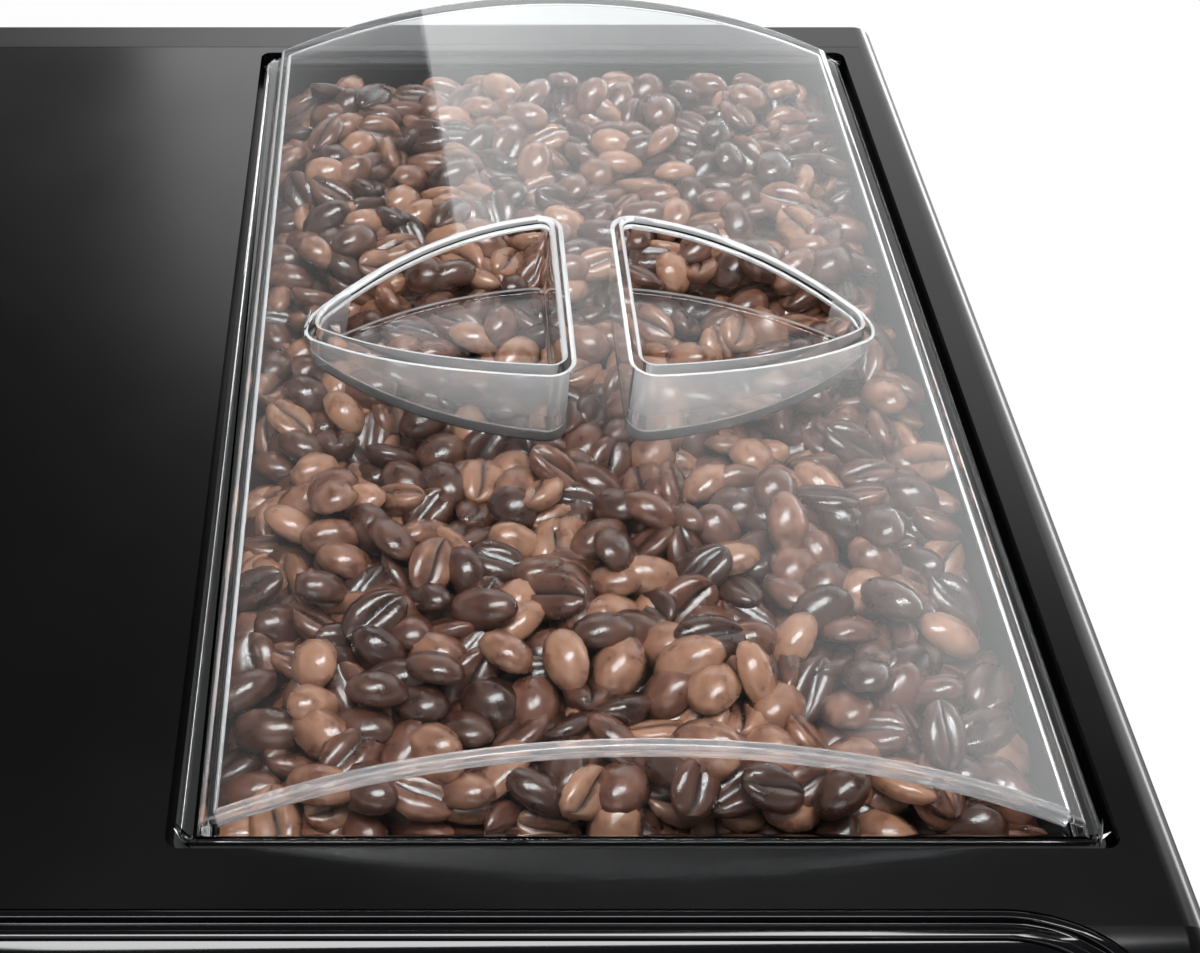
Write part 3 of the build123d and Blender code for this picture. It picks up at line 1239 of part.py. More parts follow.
meter_x = wall_right + meter_width / 2
supply_z = heater_top - 9 * wall
steam_z = heater_top - 5 * wall
steam_x = (wall_right + heater_x) / 2
steam_y = brew_front + 5 * wall
hose_routes = {
    "suction": [(tank_x, bay_back, valve_height), (tank_x, hose_y, valve_height), (tank_x, hose_y, pump_z),
                (wall_right, hose_y, pump_z)],
    "inlet": [(meter_x, meter_low, pump_z), (meter_x, pump_y, pump_z), (pump_left, pump_y, pump_z)],
    "pressure": [(pump_right, pump_y, pump_z), (riser_x, pump_y, pump_z), (riser_x, pump_y, supply_z),
                 (heater_x, pump_y, supply_z)],
    "brewing": [(steam_x, heater_front, steam_z), (steam_x, steam_y, steam_z), (brew_left, steam_y, steam_z)],
}
with BuildPart() as water_hoses:
    for points in hose_routes.values():
        run = Vector(*points[1]) - Vector(*points[0])
        with BuildLine() as path:
            FilletPolyline(*points, radius=hose_bend)
        with BuildSketch(Plane(origin=points[0], z_dir=run)):
            Circle(hose_radius)
        sweep(path=path.line)
water_hoses.part.label = "water_hoses"
export_step(water_hoses.part, "parts/water_hoses.step")

# Mains inlet, power switch and supply board
inlet_flange = 2.0
pin_length_inlet = 9.0
with BuildPart() as power_inlet:
    block((inlet_x - inlet_width / 2, inlet_x + inlet_width / 2), (rear_inside - 5 * wall, rear_face),
          (inlet_z - inlet_height / 2, inlet_z + inlet_height / 2))
    rim_x = inlet_width / 2 + 2 * inlet_flange
    rim_z = inlet_height / 2 + inlet_flange
    block((inlet_x - rim_x, inlet_x + rim_x), (rear_face, rear_face + inlet_flange),
          (inlet_z - rim_z, inlet_z + rim_z))
    block((inlet_x - inlet_width / 2 + inlet_flange, inlet_x + inlet_width / 2 - inlet_flange),
          (rear_inside - 4 * wall, rear), (inlet_z - inlet_height / 2 + inlet_flange,
          inlet_z + inlet_height / 2 - inlet_flange), Mode.SUBTRACT)
    for x in (-1, 0, 1):
        rod_y(inlet_x + x * inlet_width / 4, inlet_z + (x == 0) * inlet_flange,
              (rear_inside - 5 * wall, rear_inside - 5 * wall + pin_length_inlet), inlet_flange / 2)
power_inlet.part.label = "power_inlet"
export_step(power_inlet.part, "parts/power_inlet.step")

rocker_space = 1.6
rocker_pin = 1.5
pivot_y = rear_face - wall
with BuildPart() as switch_housing:
    case_x = rocker_width / 2 + wall - seam
    case_z = rocker_height / 2 + wall - seam
    block((inlet_x - case_x, inlet_x + case_x), (rear_inside - 3 * wall, rear_face),
          (rocker_z - case_z, rocker_z + case_z))
    block((inlet_x - rocker_width / 2 - seam, inlet_x + rocker_width / 2 + seam),
          (rear_inside - 2 * wall, rear), (rocker_z - rocker_height / 2 - seam,
          rocker_z + rocker_height / 2 + seam), Mode.SUBTRACT)
    with Locations(Location((inlet_x, pivot_y, rocker_z), (0, 90, 0))):
        Cylinder(rocker_pin + ring_fit, rocker_width + 2 * rocker_space, mode=Mode.SUBTRACT)
switch_housing.part.label = "switch_housing"
export_step(switch_housing.part, "parts/switch_housing.step")

rocker_half = rocker_height / 2 - seam
with BuildPart() as power_rocker:
    with BuildSketch(Plane.YZ.offset(inlet_x - rocker_width / 2 + seam)):
        with BuildLine():
            high = pivot_y + wall + running_gap
            Polyline((high, rocker_z - rocker_half), (pivot_y - wall / 2, rocker_z - rocker_half + wall / 2),
                     (pivot_y - wall, rocker_z), (pivot_y - wall / 2, rocker_z + rocker_half - wall / 2),
                     (high, rocker_z + rocker_half))
            ThreePointArc((high, rocker_z + rocker_half), (high - wall / 4, rocker_z),
                          (high, rocker_z - rocker_half))
        make_face()
    extrude(amount=rocker_width - 2 * seam)
    with Locations(Location((inlet_x, pivot_y, rocker_z), (0, 90, 0))):
        Cylinder(rocker_pin, rocker_width + 2 * rocker_space - seam)
power_rocker.part.label = "power_rocker"
export_step(power_rocker.part, "parts/power_rocker.step")

coil = 12.0
supply_left = tank_left + 5 * wall
supply_right = chassis_x - 3 * wall
supply_low = rocker_z + 10 * wall
supply_high = supply_low + supply_height
standoff = 8.0
supply_face = rear_inside - standoff
with BuildPart() as supply_board:
    block((supply_left, supply_right), (supply_face - board_thickness, supply_face), (supply_low, supply_high))
    for x in (supply_left + 2 * wall, supply_right - 2 * wall):
        for z in (supply_low + 2 * wall, supply_high - 2 * wall):
            rod_y(x, z, (supply_face, rear_inside), wall)
    middle_x = (supply_left + supply_right) / 2
    block((middle_x - coil, middle_x + coil), (supply_face - board_thickness - coil, supply_face - board_thickness),
          (supply_low + coil, supply_low + 3 * coil))
    for row in range(3):
        rod_y(middle_x - coil / 2, supply_low + (4 + row) * coil,
              (supply_face - board_thickness - coil, supply_face - board_thickness), coil / 3)
supply_board.part.label = "supply_board"
export_step(supply_board.part, "parts/supply_board.step")
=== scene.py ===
# %% [markdown]
# # A bean to cup coffee machine with a clear bean hopper lid
# The CAD model fixes every size and place. This lesson dresses it: real plastics and metals on each
# piece, a clear lid with rounded edges, and a hopper full of roasted beans. Everything is in metres.

# %% Load the frame
import math

import bmesh
import bpy
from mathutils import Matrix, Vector


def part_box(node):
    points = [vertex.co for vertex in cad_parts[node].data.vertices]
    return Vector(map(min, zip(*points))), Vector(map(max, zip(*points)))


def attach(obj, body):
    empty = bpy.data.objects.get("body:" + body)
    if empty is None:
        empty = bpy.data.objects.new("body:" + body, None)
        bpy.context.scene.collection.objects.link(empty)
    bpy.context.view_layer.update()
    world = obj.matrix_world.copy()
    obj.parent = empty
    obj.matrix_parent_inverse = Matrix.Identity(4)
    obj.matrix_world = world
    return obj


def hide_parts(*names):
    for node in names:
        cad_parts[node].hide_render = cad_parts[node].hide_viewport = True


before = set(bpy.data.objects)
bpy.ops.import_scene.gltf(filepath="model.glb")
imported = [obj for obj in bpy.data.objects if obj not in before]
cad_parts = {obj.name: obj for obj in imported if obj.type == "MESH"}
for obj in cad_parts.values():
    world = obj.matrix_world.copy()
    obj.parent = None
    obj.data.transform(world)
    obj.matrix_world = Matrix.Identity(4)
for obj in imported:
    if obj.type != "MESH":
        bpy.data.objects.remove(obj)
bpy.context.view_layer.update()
mm = 0.001

# %% [markdown]
# ## Camera
# The camera stands in front of the machine and above it, tilted 45 degrees down. Its picture is shifted
# a little sideways, so that the hopper fills the frame while the lens looks straight ahead.

# %% Camera
bpy.context.scene.view_settings.view_transform = "Standard"
lens = bpy.data.cameras.new("deck_camera")
lens.sensor_width = 36.0
lens.lens = 49.155
lens.shift_x = 0.1558
lens.clip_start = 0.01
camera = bpy.data.objects.new("deck_camera", lens)
camera.location = (0.0, -0.1973, 0.5983)
camera.rotation_euler = (math.radians(45), 0.0, 0.0)
bpy.context.scene.collection.objects.link(camera)
bpy.context.scene.camera = camera
print("camera at", tuple(camera.location))

# %% [markdown]
# ## Two helpers for materials
# Colours are written as the hex values that a screen shows, and one function turns them to the linear
# values that the renderer works in. One more function adds a node, sets it and links it.


# %% Colour and node helpers
def colour(code):
    """Linear colour of a six digit sRGB hex code."""
    parts = [int(code[i:i + 2], 16) / 255 for i in (0, 2, 4)]
    return (*[p / 12.92 if p <= 0.04045 else ((p + 0.055) / 1.055) ** 2.4 for p in parts], 1.0)


def add(tree, kind, inputs=None, **settings):
    """Adds a node; each input is a value, or another node's output to link."""
    made = tree.nodes.new(kind)
    for key, value in settings.items():
        setattr(made, key, value)
    for key, value in (inputs or {}).items():
        if isinstance(value, bpy.types.NodeSocket):
            tree.links.new(value, made.inputs[key])
        else:
            made.inputs[key].default_value = value
    return made


def surface(name, **sockets):
    """A material, its node tree and its main shader with plain values on the shader's own sockets."""
    made = bpy.data.materials.new(name)
    made.use_nodes = True
    shader = made.node_tree.nodes["Principled BSDF"]
    for key, value in sockets.items():
        shader.inputs[key.replace("_", " ")].default_value = value
    return made, made.node_tree, shader


print("black of the deck in linear light", colour("0E0E0F")[0])

# %% [markdown]
# ## Studio
# A product studio has a pale paper floor, a bright horizon all round it and a dark ceiling. Black gloss
# shows what it faces, so the world fades from a bright horizon to a dark ceiling. The camera itself sees
# plain white. Walls could be modelled instead, but a world of one gradient is quicker and has no corners.

# %% World
world = bpy.data.worlds.new("studio")
bpy.context.scene.world = world
world.use_nodes = True
sky = world.node_tree
sky.nodes.clear()
direction = add(sky, "ShaderNodeTexCoord")
height = add(sky, "ShaderNodeSeparateXYZ", {0: direction.outputs["Generated"]})
horizon = add(sky, "ShaderNodeMapRange", {
    "Value": height.outputs["Z"], "From Min": 0.05, "From Max": 0.7, "To Min": 0.85, "To Max": 0.05,
}, interpolation_type="SMOOTHSTEP")
rays = add(sky, "ShaderNodeLightPath")
level = add(sky, "ShaderNodeMix", {
    0: rays.outputs["Is Camera Ray"], 2: horizon.outputs[0], 3: 1.0,
})
backdrop = add(sky, "ShaderNodeBackground", {"Color": colour("FFFFFF"), "Strength": level.outputs[0]})
add(sky, "ShaderNodeOutputWorld", {0: backdrop.outputs[0]})
print("world nodes", len(sky.nodes))

# %% [markdown]
# ## Lamps
# The lamps are soft panels, placed where the real highlights come from: a box behind the machine for the
# sheen on deck and lid, a low card on each side for the long lines on the rounded edges, a strip overhead
# that lights the beans and a weak fill in front. The box isn't even: it is dimmer in the middle of its
# width and fades out towards its top, as a real softbox does, so that the sheen on the deck ends softly.
# An image of a studio could do the same, but lamps can be moved one by one.

# %% Soft panels
def panel(name, place, aim, size, radiance, fade=()):
    """A soft rectangular lamp at a place, facing a point. Each fade is an axis, X over its width or Y from
    its foot up, the two shares of that axis where it starts and ends, and the levels there."""
    lamp = bpy.data.lights.new(name, "AREA")
    lamp.shape = "RECTANGLE"
    lamp.size, lamp.size_y = size
    lamp.energy = radiance * math.pi * size[0] * size[1]  # watts that give this radiance at any size
    lamp_object = bpy.data.objects.new(name, lamp)
    lamp_object.location = place
    lamp_object.rotation_euler = (Vector(aim) - Vector(place)).to_track_quat("-Z", "Y").to_euler()
    bpy.context.scene.collection.objects.link(lamp_object)
    if fade:
        lamp.use_nodes = True
        tree = lamp.node_tree
        spot = add(tree, "ShaderNodeNewGeometry").outputs["Parametric"]
        across = add(tree, "ShaderNodeSeparateXYZ", {0: spot})
        strength = None
        for axis, start, end, dim, full in fade:
            ramp = add(tree, "ShaderNodeMapRange", {
                "Value": across.outputs[axis], "From Min": start, "From Max": end, "To Min": dim,
                "To Max": full}, interpolation_type="SMOOTHSTEP").outputs[0]
            if strength is None:
                strength = ramp
            else:
                strength = add(tree, "ShaderNodeMath", {0: strength, 1: ramp},
                               operation="MULTIPLY").outputs[0]
        tree.links.new(strength, tree.nodes["Emission"].inputs["Strength"])


deck_middle = (0.0, 0.05, 0.37)
panel("overhead_strip", (0.05, -0.06, 1.75), deck_middle, (1.1, 0.45), 14.5)
box_fades = (
    ("X", 0.5, 0.95, 0.45, 1.0),
    ("X", 0.0, 0.4, 1.8, 1.0),
    ("Y", 0.0, 0.3, 0.5, 1.0),
    ("Y", 0.57, 0.74, 1.0, 0.02),
)
panel("rear_softbox", (0.58, 1.104, 1.26), (0.108, -0.064, 1.26), (1.9, 1.55), 2.05, box_fades)
panel("right_low_card", (1.05, 0.85, 0.39), (0.1, 0.05, 0.36), (1.5, 0.24), 6.5)
panel("left_low_card", (-1.25, 0.75, 0.2), (-0.1, 0.05, 0.3), (1.2, 0.34), 3.0)
panel("front_fill", (-0.2, -1.7, 1.2), deck_middle, (1.2, 0.8), 1.8)

# %% [markdown]
# ## Paper floor
# The floor is white seamless paper that keeps the machine's shadow. What the camera sees of it, also
# through clear plastic, glows a little, so that it meets the white behind it. Black gloss mirrors it too,
# and there the paper near the machine is kept dark and the paper further away pale, as where screens
# stand round a gloss object. A plain white floor would turn the sides of the machine grey.

# %% Floor
floor_mesh = bpy.data.meshes.new("studio_floor")
floor_reach = 6.0
floor_mesh.from_pydata(
    [(x * floor_reach, y * floor_reach, 0.0) for x, y in ((-1, -1), (1, -1), (1, 1), (-1, 1))],
    [], [(0, 1, 2, 3)])
floor = bpy.data.objects.new("studio_floor", floor_mesh)
bpy.context.scene.collection.objects.link(floor)
paper, paper_tree, paper_shader = surface(
    "white_seamless_paper", Base_Color=colour("F2F2F2"), Roughness=0.9)
paper_rays = add(paper_tree, "ShaderNodeLightPath")
seen = add(paper_tree, "ShaderNodeMath", {
    0: paper_rays.outputs["Is Camera Ray"], 1: paper_rays.outputs["Is Glossy Ray"]}, operation="MAXIMUM")
seen_or_through = add(paper_tree, "ShaderNodeMath", {
    0: seen.outputs[0], 1: paper_rays.outputs["Is Transmission Ray"]}, operation="MAXIMUM")
glow_share = 0.93
share = add(paper_tree, "ShaderNodeMath", {0: seen_or_through.outputs[0], 1: glow_share},
            operation="MULTIPLY")
mirrored = add(paper_tree, "ShaderNodeMath", {
    0: paper_rays.outputs["Is Glossy Ray"], 1: paper_rays.outputs["Is Transmission Ray"],
}, operation="SUBTRACT", use_clamp=True)
paper_spot = add(paper_tree, "ShaderNodeTexCoord")
paper_reach = add(paper_tree, "ShaderNodeVectorMath", {0: paper_spot.outputs["Object"]},
                  operation="LENGTH")
paper_far = add(paper_tree, "ShaderNodeMapRange", {
    "Value": paper_reach.outputs["Value"], "From Min": 0.5, "From Max": 1.3, "To Min": 0.1, "To Max": 0.8,
}, interpolation_type="SMOOTHSTEP")
gloss = add(paper_tree, "ShaderNodeMix", {0: mirrored.outputs[0], 2: 1.0, 3: paper_far.outputs[0]})
glow = add(paper_tree, "ShaderNodeEmission", {"Color": colour("FFFFFF"), "Strength": gloss.outputs[0]})
paper_mix = add(paper_tree, "ShaderNodeMixShader", {
    0: share.outputs[0], 1: paper_shader.outputs[0], 2: glow.outputs[0]})
paper_tree.links.new(paper_mix.outputs[0], paper_tree.nodes["Material Output"].inputs["Surface"])
floor_mesh.materials.append(paper)
print("floor reaches", floor_reach, "m each way")


# %% [markdown]
# ## Moulded plastics
# ABS and the like come out of a polished or a spark-eroded mould. The first gives a gloss with a faint
# waviness and fine scuffs, the second a fine even grain. Both are a noise of a real grain size that
# drives a small bump, and a broad noise that lets roughness and colour drift a little, as real mouldings
# do.

# %% Moulded plastic
def moulded(name, code, roughness, grain, depth, drift=0.04, **more):
    """A moulded plastic: grain is the size of its texture and depth how deep it is, both in mm."""
    made, tree, shader = surface(name, IOR=1.5, **more)
    where = add(tree, "ShaderNodeTexCoord").outputs["Object"]
    fine = add(tree, "ShaderNodeTexNoise", {"Vector": where, "Scale": 1 / (grain * mm), "Detail": 3.0})
    broad = add(tree, "ShaderNodeTexNoise", {"Vector": where, "Scale": 1 / (70 * mm), "Detail": 4.0})
    bump = add(tree, "ShaderNodeBump", {"Height": fine.outputs["Fac"], "Strength": 0.6,
                                        "Distance": depth * mm})
    rough = add(tree, "ShaderNodeMapRange", {
        "Value": broad.outputs["Fac"], "From Min": 0.3, "From Max": 0.7,
        "To Min": roughness - drift, "To Max": roughness + drift})
    pale = tuple(min(1.0, c * 1.35 + 0.0005) for c in colour(code)[:3]) + (1.0,)
    tint = add(tree, "ShaderNodeMix", {0: broad.outputs["Fac"], 6: colour(code), 7: pale}, data_type="RGBA")
    tree.links.new(tint.outputs[2], shader.inputs["Base Color"])
    tree.links.new(rough.outputs[0], shader.inputs["Roughness"])
    tree.links.new(bump.outputs[0], shader.inputs["Normal"])
    return made


# %% [markdown]
# ## Metals
# Brushed and ground steel carry fine parallel scratches, so their noise is stretched along one axis.
# Zinc plate and cast aluminium have an even fine mottle instead.

# %% Metal
def worked_metal(name, code, roughness, stretch, depth):
    """A metal whose marks are stretched by a factor along X, Y and Z, and depth mm deep."""
    made, tree, shader = surface(name, Metallic=1.0)
    where = add(tree, "ShaderNodeTexCoord").outputs["Object"]
    along = add(tree, "ShaderNodeMapping", {"Vector": where, "Scale": stretch})
    marks = add(tree, "ShaderNodeTexNoise", {"Vector": along.outputs[0], "Scale": 1 / (0.5 * mm),
                                             "Detail": 4.0})
    bump = add(tree, "ShaderNodeBump", {"Height": marks.outputs["Fac"], "Strength": 0.5,
                                        "Distance": depth * mm})
    rough = add(tree, "ShaderNodeMapRange", {
        "Value": marks.outputs["Fac"], "From Min": 0.25, "From Max": 0.75,
        "To Min": roughness * 0.8, "To Max": roughness * 1.2})
    dark = tuple(c * 0.86 for c in colour(code)[:3]) + (1.0,)
    tint = add(tree, "ShaderNodeMix", {0: marks.outputs["Fac"], 6: dark, 7: colour(code)}, data_type="RGBA")
    tree.links.new(tint.outputs[2], shader.inputs["Base Color"])
    tree.links.new(rough.outputs[0], shader.inputs["Roughness"])
    tree.links.new(bump.outputs[0], shader.inputs["Normal"])
    return made


# %% [markdown]
# ## Finishes of the pieces
# The casing is black ABS from a polished mould, with a soft sheen on the deck and a deeper gloss on the
# front panel. The base, the hopper and the mechanism are grained black plastic, and the rear panel is a
# duller one, as its top edge shows in the picture.

# %% Finishes
finish = {
    "casing_black": moulded("satin_black_abs", "060607", 0.2, 0.5, 0.002),
    "front_gloss_black": moulded("gloss_black_abs", "08080A", 0.08, 2.5, 0.001, 0.02),
    "base_black": moulded("grained_black_abs", "131314", 0.42, 0.35, 0.012),
    "rear_black": moulded("dull_black_abs", "1B1B1C", 0.33, 0.4, 0.006),
    "rubber_black": moulded("black_rubber", "161616", 0.75, 0.4, 0.01),
    "lid_grey": moulded("grained_grey_abs", "3C3C40", 0.4, 0.4, 0.012),
    "piston_white": moulded("natural_acetal", "DDD9CE", 0.35, 0.6, 0.004),
    "hose_clear": moulded("milky_silicone", "D9D6CC", 0.38, 1.2, 0.004, Subsurface_Weight=0.25,
                          Subsurface_Scale=0.004),
    "board_green": moulded("green_solder_mask", "14522B", 0.3, 0.6, 0.006),
    "float_red": moulded("red_polypropylene", "B01A1C", 0.35, 0.5, 0.006),
    "rocker_red": moulded("red_nylon", "A31618", 0.3, 0.5, 0.006),
    "button_steel": worked_metal("satin_chrome", "C9C9CB", 0.2, (1.0, 1.0, 1.0), 0.0008),
    "steel": worked_metal("brushed_stainless_steel", "C4C2BF", 0.28, (0.05, 1.0, 1.0), 0.002),
    "burr_steel": worked_metal("ground_tool_steel", "9E9C9A", 0.32, (1.0, 1.0, 0.1), 0.002),
    "motor_steel": worked_metal("zinc_plated_steel", "B2B4B5", 0.38, (0.4, 0.4, 0.4), 0.003),
    "heater_aluminium": worked_metal("cast_aluminium", "C8C9CA", 0.45, (0.3, 0.3, 0.3), 0.01),
}
print("finishes made", len(finish))

# %% [markdown]
# ## Clear plastics
# The lid is SAN or acrylic: water clear, hard and polished, with an IOR near 1.5. A ray tracer treats a
# clear shell as opaque to lamps, so its shadow rays are let through, as the real lid lets light reach the
# beans. Long wipes of a cloth leave a faint haze, drawn as a slight change of roughness. The front walls
# of the finger pockets get a painted milky white that grows towards their rim, and the rear end wall a
# very faint one: painted light that stands in for the brightness these walls show.


# %% Clear plastic
def clear(name, code, roughness, shadow, painted_milk=None):
    """A see-through plastic of a tint; shadow is the light that it holds back, and the last argument an
    axis, two places and two shares of a painted milky white at them, which stands in for light."""
    made, tree, shader = surface(name, IOR=1.49, Transmission_Weight=1.0)
    where = add(tree, "ShaderNodeTexCoord").outputs["Object"]
    wipes = add(tree, "ShaderNodeTexNoise", {"Vector": where, "Scale": 1 / (18 * mm), "Detail": 5.0})
    rough = add(tree, "ShaderNodeMapRange", {
        "Value": wipes.outputs["Fac"], "From Min": 0.35, "From Max": 0.75,
        "To Min": roughness, "To Max": roughness + 0.05})
    tree.links.new(rough.outputs[0], shader.inputs["Roughness"])
    shader.inputs["Base Color"].default_value = colour(code)
    path = add(tree, "ShaderNodeLightPath")
    lit = add(tree, "ShaderNodeBsdfTransparent", {"Color": (1 - shadow, 1 - shadow, 1 - shadow, 1.0)})
    body = shader.outputs[0]
    if painted_milk:
        axis, start, end, least, most = painted_milk
        split = add(tree, "ShaderNodeSeparateXYZ", {0: where})
        share = add(tree, "ShaderNodeMapRange", {
            "Value": split.outputs[axis], "From Min": start, "From Max": end, "To Min": least,
            "To Max": most})
        # Painted light: a milky white diffuse mixed in along the axis, standing in for the brightness of
        # the wall.
        painted_milk_shader = add(tree, "ShaderNodeBsdfDiffuse", {"Color": colour("F2F4F6")})
        body = add(tree, "ShaderNodeMixShader", {
            0: share.outputs[0], 1: body, 2: painted_milk_shader.outputs[0]}).outputs[0]
    mix = add(tree, "ShaderNodeMixShader", {0: path.outputs["Is Shadow Ray"], 1: body, 2: lit.outputs[0]})
    tree.links.new(mix.outputs[0], tree.nodes["Material Output"].inputs["Surface"])
    return made


lid_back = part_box("hopper_lid")[1].y
lid_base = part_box("hopper_lid")[0].z
# The rear end wall gets a faint painted milky white, which stands in for light.
finish["clear_plastic"] = clear("clear_styrene_acrylonitrile", "F7FAFB", 0.01, 0.06,
                                ("Y", lid_back - 9 * mm, lid_back - 3 * mm, 0.0, 0.08))
# The pocket walls' painted milky white grows from 12 to 50 percent towards their rim.
pocket_wall = clear("styrene_acrylonitrile_painted_milk", "F7FAFB", 0.02, 0.06,
                    ("Z", lid_base + 2 * mm, lid_base + 17 * mm, 0.12, 0.5))
finish["tinted_plastic"] = clear("smoke_styrene_acrylonitrile", "9AA0A8", 0.03, 0.4)
finish["display_glass"] = moulded("dark_display_window", "0A0C0E", 0.06, 4.0, 0.0005, 0.01)
print("clear finishes", finish["clear_plastic"].name, finish["tinted_plastic"].name)

# %% [markdown]
# ## Roasted beans
# Roasting leaves a brown skin that runs from chestnut to near black from bean to bean, with darker
# blotches and a thin oily sheen. Each bean carries its own tone as an attribute, and as another the
# painted shade of its crease, which is darkest in the groove and a little on its lips and at the tips.

# %% Bean finish
roast, roast_tree, roast_shader = surface(
    "roasted_bean_skin", IOR=1.47, Coat_Weight=0.8, Coat_Roughness=0.12)
spot = add(roast_tree, "ShaderNodeTexCoord").outputs["Object"]
tone = add(roast_tree, "ShaderNodeAttribute", attribute_name="roast_tone")
crease = add(roast_tree, "ShaderNodeAttribute", attribute_name="bean_crease_shade")
blotch = add(roast_tree, "ShaderNodeTexNoise", {
    "Vector": spot, "Scale": 1 / (3.5 * mm), "Detail": 5.0})
wrinkle = add(roast_tree, "ShaderNodeTexNoise", {
    "Vector": spot, "Scale": 1 / (0.9 * mm), "Detail": 4.0})
mixed_tone = add(roast_tree, "ShaderNodeMath", {
    0: tone.outputs["Fac"], 1: blotch.outputs["Fac"]}, operation="ADD")
half_tone = add(roast_tree, "ShaderNodeMath", {0: mixed_tone.outputs[0], 1: 0.68}, operation="MULTIPLY")
skin = add(roast_tree, "ShaderNodeValToRGB", {0: half_tone.outputs[0]})
skin.color_ramp.elements[0].position = 0.25
skin.color_ramp.elements[0].color = colour("2A1710")
skin.color_ramp.elements[1].position = 1.0
skin.color_ramp.elements[1].color = colour("8E6650")
for place, code in ((0.5, "3E241A"), (0.75, "5E3B2D")):
    stop = skin.color_ramp.elements.new(place)
    stop.color = colour(code)
# Painted shade: the crease attribute mixes a near black brown into the skin in the groove, its lips and the
# tips.
painted_crease_shade = add(roast_tree, "ShaderNodeMix", {
    0: crease.outputs["Fac"], 6: skin.outputs[0], 7: colour("1B0E0A")}, data_type="RGBA")
sheen = add(roast_tree, "ShaderNodeMapRange", {
    "Value": blotch.outputs["Fac"], "From Min": 0.3, "From Max": 0.7, "To Min": 0.24, "To Max": 0.4})
pits = add(roast_tree, "ShaderNodeBump", {"Height": wrinkle.outputs["Fac"], "Strength": 0.7,
                                          "Distance": 0.12 * mm})
roast_tree.links.new(painted_crease_shade.outputs[2], roast_shader.inputs["Base Color"])
roast_tree.links.new(sheen.outputs[0], roast_shader.inputs["Roughness"])
roast_tree.links.new(pits.outputs[0], roast_shader.inputs["Normal"])
finish["roasted_bean"] = roast
print("bean finish nodes", len(roast_tree.nodes))

# %% [markdown]
# ## Dressing the CAD pieces
# Every piece comes from the CAD with a named material slot, and the slot's name picks its finish. Only
# the rear panel has a duller finish than its slot says. Pieces whose shape is right stay as they are: a
# copy of them would add nothing.

# %% Dress every CAD node
special = {"rear_panel": "rear_black"}
for name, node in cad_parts.items():
    for slot in node.material_slots:
        slot.material = finish[special.get(name, slot.material.name.split(".")[0])]
print("nodes dressed", len(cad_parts))


# %% [markdown]
# ## One bean
# A coffee bean is half an ellipsoid: a domed back and a flat side with a winding crease. It could be
# sculpted, but a ring of ten points swept along the bean in seven steps is enough, because hundreds are
# drawn and their smooth shading hides the facets.

# %% Bean template
def bean_template():
    """A bean 2 units long and 1.44 wide, its flat side up, with the painted shade of its crease in an
    attribute.
    """
    ring = ((1.0, 0.0, 0), (0.72, 0.36, 0), (0.17, 0.42, 0.25), (0.0, 0.1, 1), (-0.17, 0.42, 0.25),
            (-0.72, 0.36, 0), (-1.0, 0.0, 0), (-0.72, -0.74, 0), (0.0, -1.05, 0), (0.72, -0.74, 0))
    steps = (-0.94, -0.74, -0.4, 0.0, 0.4, 0.74, 0.94)
    points, marks, faces = [], [], []
    for along in steps:
        full = (1 - along * along) ** 0.5
        for across, up, mark in ring:
            wind = 0.13 * math.sin(along * 2.6) if mark else 0.0
            points.append((along, (across * full + wind) * 0.72, up * full * 0.56))
            marks.append(mark)
    count = len(ring)
    for step in range(len(steps) - 1):
        for i in range(count):
            a, b = step * count + i, step * count + (i + 1) % count
            faces.append((a, b, b + count, a + count))
    for end, tip in ((0, -1.0), (len(steps) - 1, 1.0)):
        points.append((tip, 0.0, 0.02))
        marks.append(0.3)
        for i in range(count):
            pair = [end * count + i, end * count + (i + 1) % count]
            last = len(points) - 1
            faces.append((pair[0], last, pair[1]) if end == 0 else (pair[0], pair[1], last))
    mesh = bpy.data.meshes.new("bean_template")
    mesh.from_pydata(points, [], faces)
    mesh.attributes.new("bean_crease_shade", "FLOAT", "POINT").data.foreach_set("value", marks)
    mesh.shade_smooth()
    shape = bmesh.new()
    shape.from_mesh(mesh)
    bmesh.ops.recalc_face_normals(shape, faces=shape.faces)
    shape.to_mesh(mesh)
    shape.free()
    return mesh


bean = bpy.data.objects.new("bean_template", bean_template())
print("bean faces", len(bean.data.polygons))

# %% [markdown]
# ## A hopper full of beans
# Beans in a hopper lie at random but never inside each other. Geometry Nodes spread points over a stack
# of thin layers with a least distance between any two, which packs them like poured beans. Each point
# gets one bean, turned at random, with its crease up or down. What would reach through a hopper wall is
# pressed flat against it.


